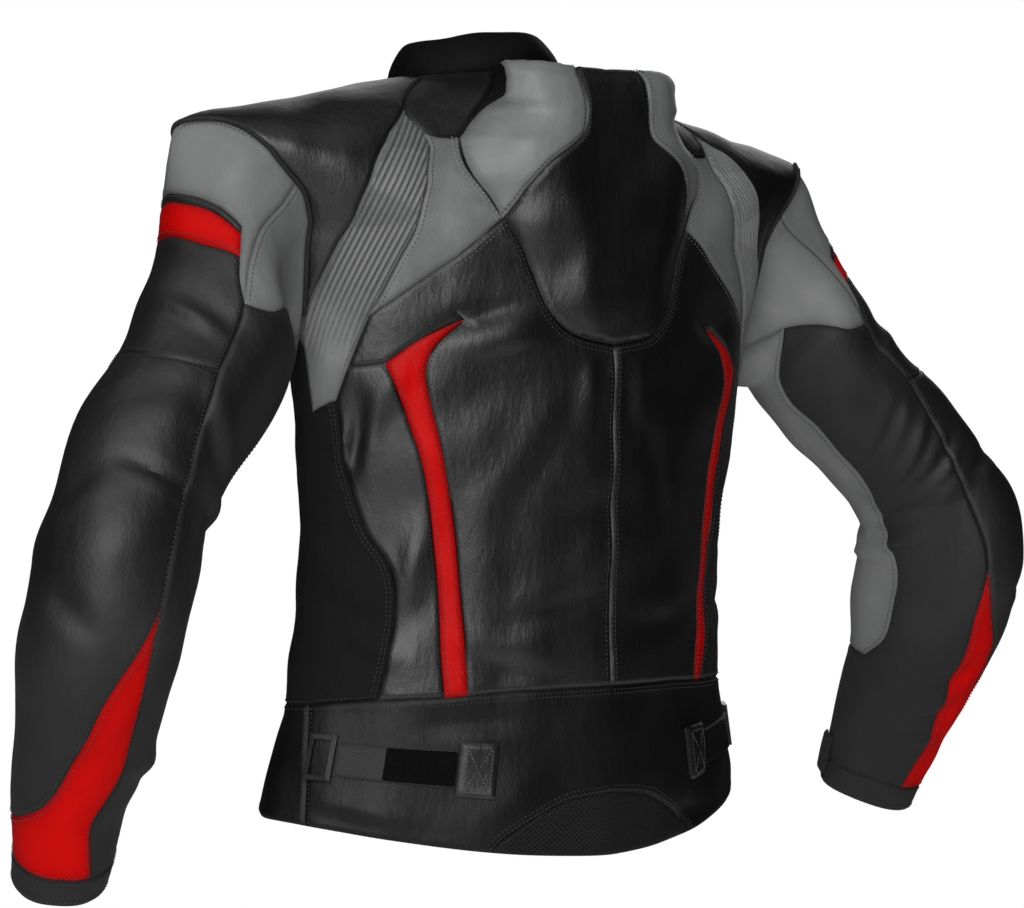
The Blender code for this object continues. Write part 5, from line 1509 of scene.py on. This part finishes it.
def along_seam(surface, places, offset, pitch, hand, base, start=0.5):
    """Frames one pitch apart on a line that runs beside a seam, offset metres to its left."""
    skin = surface.shape(places[:, 0], places[:, 1])
    normals = surface.normals(places)
    ways = unit(np.gradient(skin, axis=0))
    across = unit(np.cross(normals, ways))
    first, second = surface.slopes(places)
    sides = np.stack((first, second), axis=2)
    steps = np.einsum("nij,nj->ni", np.linalg.pinv(sides), across * offset)
    moved = places + steps
    skin = surface.shape(moved[:, 0], moved[:, 1])
    walked = np.concatenate(([0.0], np.cumsum(np.linalg.norm(np.diff(skin, axis=0), axis=1))))
    count = int(walked[-1] / pitch)
    stops = (np.arange(count) + start) * pitch + (walked[-1] - count * pitch) / 2
    moved = np.stack([np.interp(stops, walked, moved[:, k]) for k in (0, 1)], axis=1)
    skin = surface.shape(moved[:, 0], moved[:, 1])
    normals = surface.normals(moved)
    lift = surface.push(moved, hand) + seam_profile(np.full(len(moved), abs(offset))) + base
    origin = skin + normals * lift[:, None]
    ways = np.gradient(origin, axis=0) if len(origin) > 1 else np.ones((len(origin), 3))
    ways = unit(ways - normals * (ways * normals).sum(axis=1)[:, None])
    mirror = np.array((hand, 1, 1))
    return origin * mirror, ways * mirror, np.cross(normals, ways) * mirror, normals * mirror


def one_stitch():
    built = bmesh.new()
    bmesh.ops.create_icosphere(built, subdivisions=1, radius=1.0)
    bmesh.ops.scale(built, vec=(STITCH_LENGTH / 2, STITCH_WIDTH / 2, STITCH_WIDTH / 2), verts=built.verts)
    return built


STITCH_ROWS = {
    # name: surface, seams, how far beside them (plus is left of their run), thread if not the dark one
    "shoulder_top": (TORSO, ((ARMHOLE_FRONT, ARMHOLE_BACK),), (-BESIDE, -TWIN)),
    "neck_edge": (TORSO, ("neck_side",), (-BESIDE, BESIDE)),
    "neck_foot": (TORSO, ("neck_rib", "neck_low"), (BESIDE,)),
    "hump_edge": (TORSO, ("hump_middle",), (-0.0035, -0.0068), "pale_thread"),
    "hump_low": (TORSO, ("hump_lower",), (-0.0035, -0.0068)),
    "shield_edge": (HUMP, ("strip_edge",), (BESIDE, -BESIDE)),
    "yoke_foot": (TORSO, ("yoke_low",), (BESIDE, TWIN), "grey_thread"),
    "rib_inner": (TORSO, ("rib_inner",), (BESIDE,)),
    "rib_outer": (TORSO, ("shoulder_back",), (BESIDE,)),
    "rib_foot": (TORSO, ("rib_low",), (-BESIDE,)),
    "stripe_inner": (TORSO, ("stripe_in",), (-BESIDE, BESIDE)),
    "stripe_outer": (TORSO, ("stripe_out",), (BESIDE, -BESIDE)),
    "side_seam": (TORSO, ("side_back",), (-BESIDE, -TWIN)),
    "centre_back": (TORSO, ("middle",), (-0.0032,)),
    "waist_back": (TORSO, ("waist_middle", "waist_stripe", "waist_side"), (-BESIDE, BESIDE, TWIN)),
    "waist_sides": (TORSO, ("waist_stretch", "waist_fore", "waist_front"), (-BESIDE, BESIDE)),
    "waist_split": (TORSO, ("waist_split",), (-BESIDE, BESIDE)),
    "net_edge": (TORSO, ("mesh_arc",), (-BESIDE, -TWIN)),
    "zip_edge": (TORSO, ("zip_upper",), (-0.0040,)),
    "zip_low": (TORSO, ("zip_lower",), (-0.0040,)),
    "cap_foot": (SLEEVE, ("cap_low",), (-0.0024,)),
    "band_foot": (SLEEVE, ("red_low",), (BESIDE,)),
    "cap_seam": (SLEEVE, ("cap_back",), (BESIDE,)),
    "arm_seam": (SLEEVE, ("arm_back", "under_top", "under_arm"), (-BESIDE,)),
    "arm_foot": (SLEEVE, ("arm_low",), (-BESIDE, BESIDE)),
    "wedge_inner": (SLEEVE, ("wedge_in",), (-BESIDE, BESIDE)),
    "wedge_outer": (SLEEVE, ("wedge_out",), (-BESIDE,)),
    "inner_seam": (SLEEVE, ("inner_back",), (-BESIDE, BESIDE)),
    "cuff_seam": (SLEEVE, ("cuff_out", "cuff_in"), (BESIDE, -BESIDE)),
    "cuff_end": (SLEEVE, ("cuff_end",), (0.0045,)),
}


def sew_rows(name, rows, thread):
    frames = [np.vstack(columns) for columns in zip(*rows)]
    repeated(name, one_stitch(), frames, (thread,))


def sew_threads():
    for name, (surface, parts, offsets, *thread) in STITCH_ROWS.items():
        places = joined(surface, parts, THREAD_STEP)
        rows = [along_seam(surface, places, offset, STITCH_PITCH, sign, STITCH_SINK)
                for _, sign in HANDS for offset in offsets]
        sew_rows(f"stitches_{name}", rows, thread[0] if thread else "thread")
    base = LAID_BASE + float(np.ptp(seam_profile(np.array((0.0, BOX_SWELLS)))))
    low, high = adjuster_rows(BOX_HEIGHT)
    corners = np.array(box_corners(BOX_INNER + CROSS_TURN, BOX_OUTER - CROSS_TURN,
                                   low + CROSS_INSET, high - CROSS_INSET))
    rows = []
    for first, last in ((0, 1), (1, 2), (2, 3), (3, 0), (0, 2), (1, 3)):
        line = corners[first] + (corners[last] - corners[first]) * np.linspace(0, 1, 12)[:, None]
        rows += [along_seam(TORSO, line, 0.0, CROSS_PITCH, sign, base) for _, sign in HANDS]
    sew_rows("stitches_box_cross", rows, "grey_thread")


def sew_zip():
    """Two rows of teeth that mesh down the centre of the front."""
    drops = np.linspace(*ZIP_RUN, ZIP_PARTS)
    middle = np.stack((np.full(ZIP_PARTS, 180.0), drops), axis=1)
    for hand, sign in HANDS:
        built = bmesh.new()
        bmesh.ops.create_cube(built, size=1.0)
        bmesh.ops.scale(built, vec=TOOTH, verts=built.verts)
        bmesh.ops.bevel(built, geom=built.edges[:], offset=TOOTH_BEVEL, segments=1, profile=0.5,
                        affect="EDGES", material=-1)
        bmesh.ops.translate(built, vec=TOOTH_SHIFT, verts=built.verts)
        start = 0.25 if sign > 0 else 0.75
        frames = along_seam(TORSO, middle, 0.0, TOOTH_PITCH, sign, TOOTH_LIFT, start)
        repeated(f"zip_teeth_{hand}", built, frames, ("metal",))


def tube(name, points):
    """Piping: a cord in leather that follows a seam."""
    curve = bpy.data.curves.new(name, "CURVE")
    curve.dimensions = "3D"
    curve.bevel_depth = PIPING_RADIUS
    curve.bevel_resolution = 2
    curve.use_fill_caps = True
    line = curve.splines.new("POLY")
    line.points.add(len(points) - 1)
    line.points.foreach_set("co", np.column_stack((points, np.ones(len(points)))).ravel())
    line.use_smooth = True
    shown(name, curve, ("black",))


def sew_piping():
    rounds = np.linspace(ARMHOLE_FRONT, ARMHOLE_BACK, PIPING_PARTS)
    line = torso_shape(*armhole(rounds)) + armhole_normals(rounds) * PIPING_LIFT
    for hand, sign in HANDS:
        tube(f"shoulder_piping_{hand}", line * np.array((sign, 1, 1)))


# ----------------------------------------------------------------------- studio


def photo_camera():
    """The camera solved from the photo."""
    behind = np.array(BEHIND)
    tilt = math.radians(CAMERA_TILT)
    ahead = Vector(-behind * math.cos(tilt) + np.array((0, 0, math.sin(tilt))))
    lens = bpy.data.cameras.new("photo_camera")
    lens.sensor_width = SENSOR
    lens.lens = FOCAL_PIXELS * SENSOR / PHOTO_WIDTH
    lens.clip_end = 60
    camera = placed("photo_camera", lens)
    camera.location = behind * CAMERA_AWAY + np.array(ACROSS) * CAMERA_ASIDE + np.array((0, 0, CAMERA_HEIGHT))
    camera.rotation_euler = ahead.to_track_quat("-Z", "Y").to_euler()
    bpy.context.scene.camera = camera


def paper_floor():
    look = Look("studio_paper")
    grain = look.noise(30.0, 3.0)
    paper = look.done(look.mixed(grain, rgb(248, 248, 248), rgb(255, 255, 255)), 0.9)
    look.shader.inputs["Emission Color"].default_value = (1, 1, 1, 1)
    look.shader.inputs["Emission Strength"].default_value = FLOOR_GLOW
    built = bmesh.new()
    bmesh.ops.create_grid(built, x_segments=1, y_segments=1, size=FLOOR_HALF)
    bmesh.ops.translate(built, vec=(0, 0, FLOOR_HEIGHT), verts=built.verts)
    mesh = bpy.data.meshes.new("studio_floor")
    built.to_mesh(mesh)
    built.free()
    mesh.materials.append(paper)
    placed("studio_floor", mesh)


def white_room():
    """White where the camera sees it, and dim as a light."""
    world = bpy.data.worlds.new("white_room")
    world.use_nodes = True
    nodes, links = world.node_tree.nodes, world.node_tree.links
    room = nodes["Background"]
    room.inputs["Color"].default_value = (1, 1, 1, 1)
    rays = nodes.new("ShaderNodeLightPath")
    strength = nodes.new("ShaderNodeMapRange")
    strength.inputs["To Min"].default_value = ROOM_LIGHT
    strength.inputs["To Max"].default_value = 1.0
    links.new(rays.outputs["Is Camera Ray"], strength.inputs["Value"])
    links.new(strength.outputs["Result"], room.inputs["Strength"])
    bpy.context.scene.world = world
    bpy.context.scene.view_settings.view_transform = "Standard"


def lights():
    for name, azimuth, height, distance, size, watts in SOFTBOXES:
        lamp = bpy.data.lights.new(name, "AREA")
        lamp.shape = "DISK"
        lamp.size = size
        lamp.energy = watts
        holder = placed(name, lamp)
        turn, up = math.radians(azimuth), math.radians(height)
        way = Vector((math.cos(turn) * math.cos(up), math.sin(turn) * math.cos(up), math.sin(up)))
        holder.location = LIT_MIDDLE + way * distance
        holder.rotation_euler = (-way).to_track_quat("-Z", "Y").to_euler()
    sky = bpy.data.lights.new("overhead_light", "SUN")
    sky.energy = OVERHEAD
    sky.angle = math.radians(OVERHEAD_SPREAD)
    placed("overhead_light", sky).rotation_euler = [math.radians(turn) for turn in OVERHEAD_TURNS]


def finish_hard_parts():
    """The rings, the slider and its tab keep their solids, with their finishes."""
    for node in ("adjuster_ring_left", "adjuster_ring_right", "zip_slider", "zip_pull_tab"):
        piece = frame["nodes"][node]
        look = "buckle" if node.startswith("adjuster") else "metal"
        for slot in piece.material_slots:
            slot.material = FINISHES[look]


def main():
    for startup in list(bpy.data.objects):
        if startup.name in ("Cube", "Light", "Camera"):
            bpy.data.objects.remove(startup, do_unlink=True)
    sew_pairs(TORSO, TORSO_PANELS)
    sew_waist()
    sew_ribs()
    sew_hump()
    sew_pairs(SLEEVE, SLEEVE_PANELS)
    sew_collar()
    sew_adjusters()
    sew_cuff_tabs()
    sew_threads()
    sew_zip()
    sew_piping()
    finish_hard_parts()
    photo_camera()
    paper_floor()
    white_room()
    lights()


main()
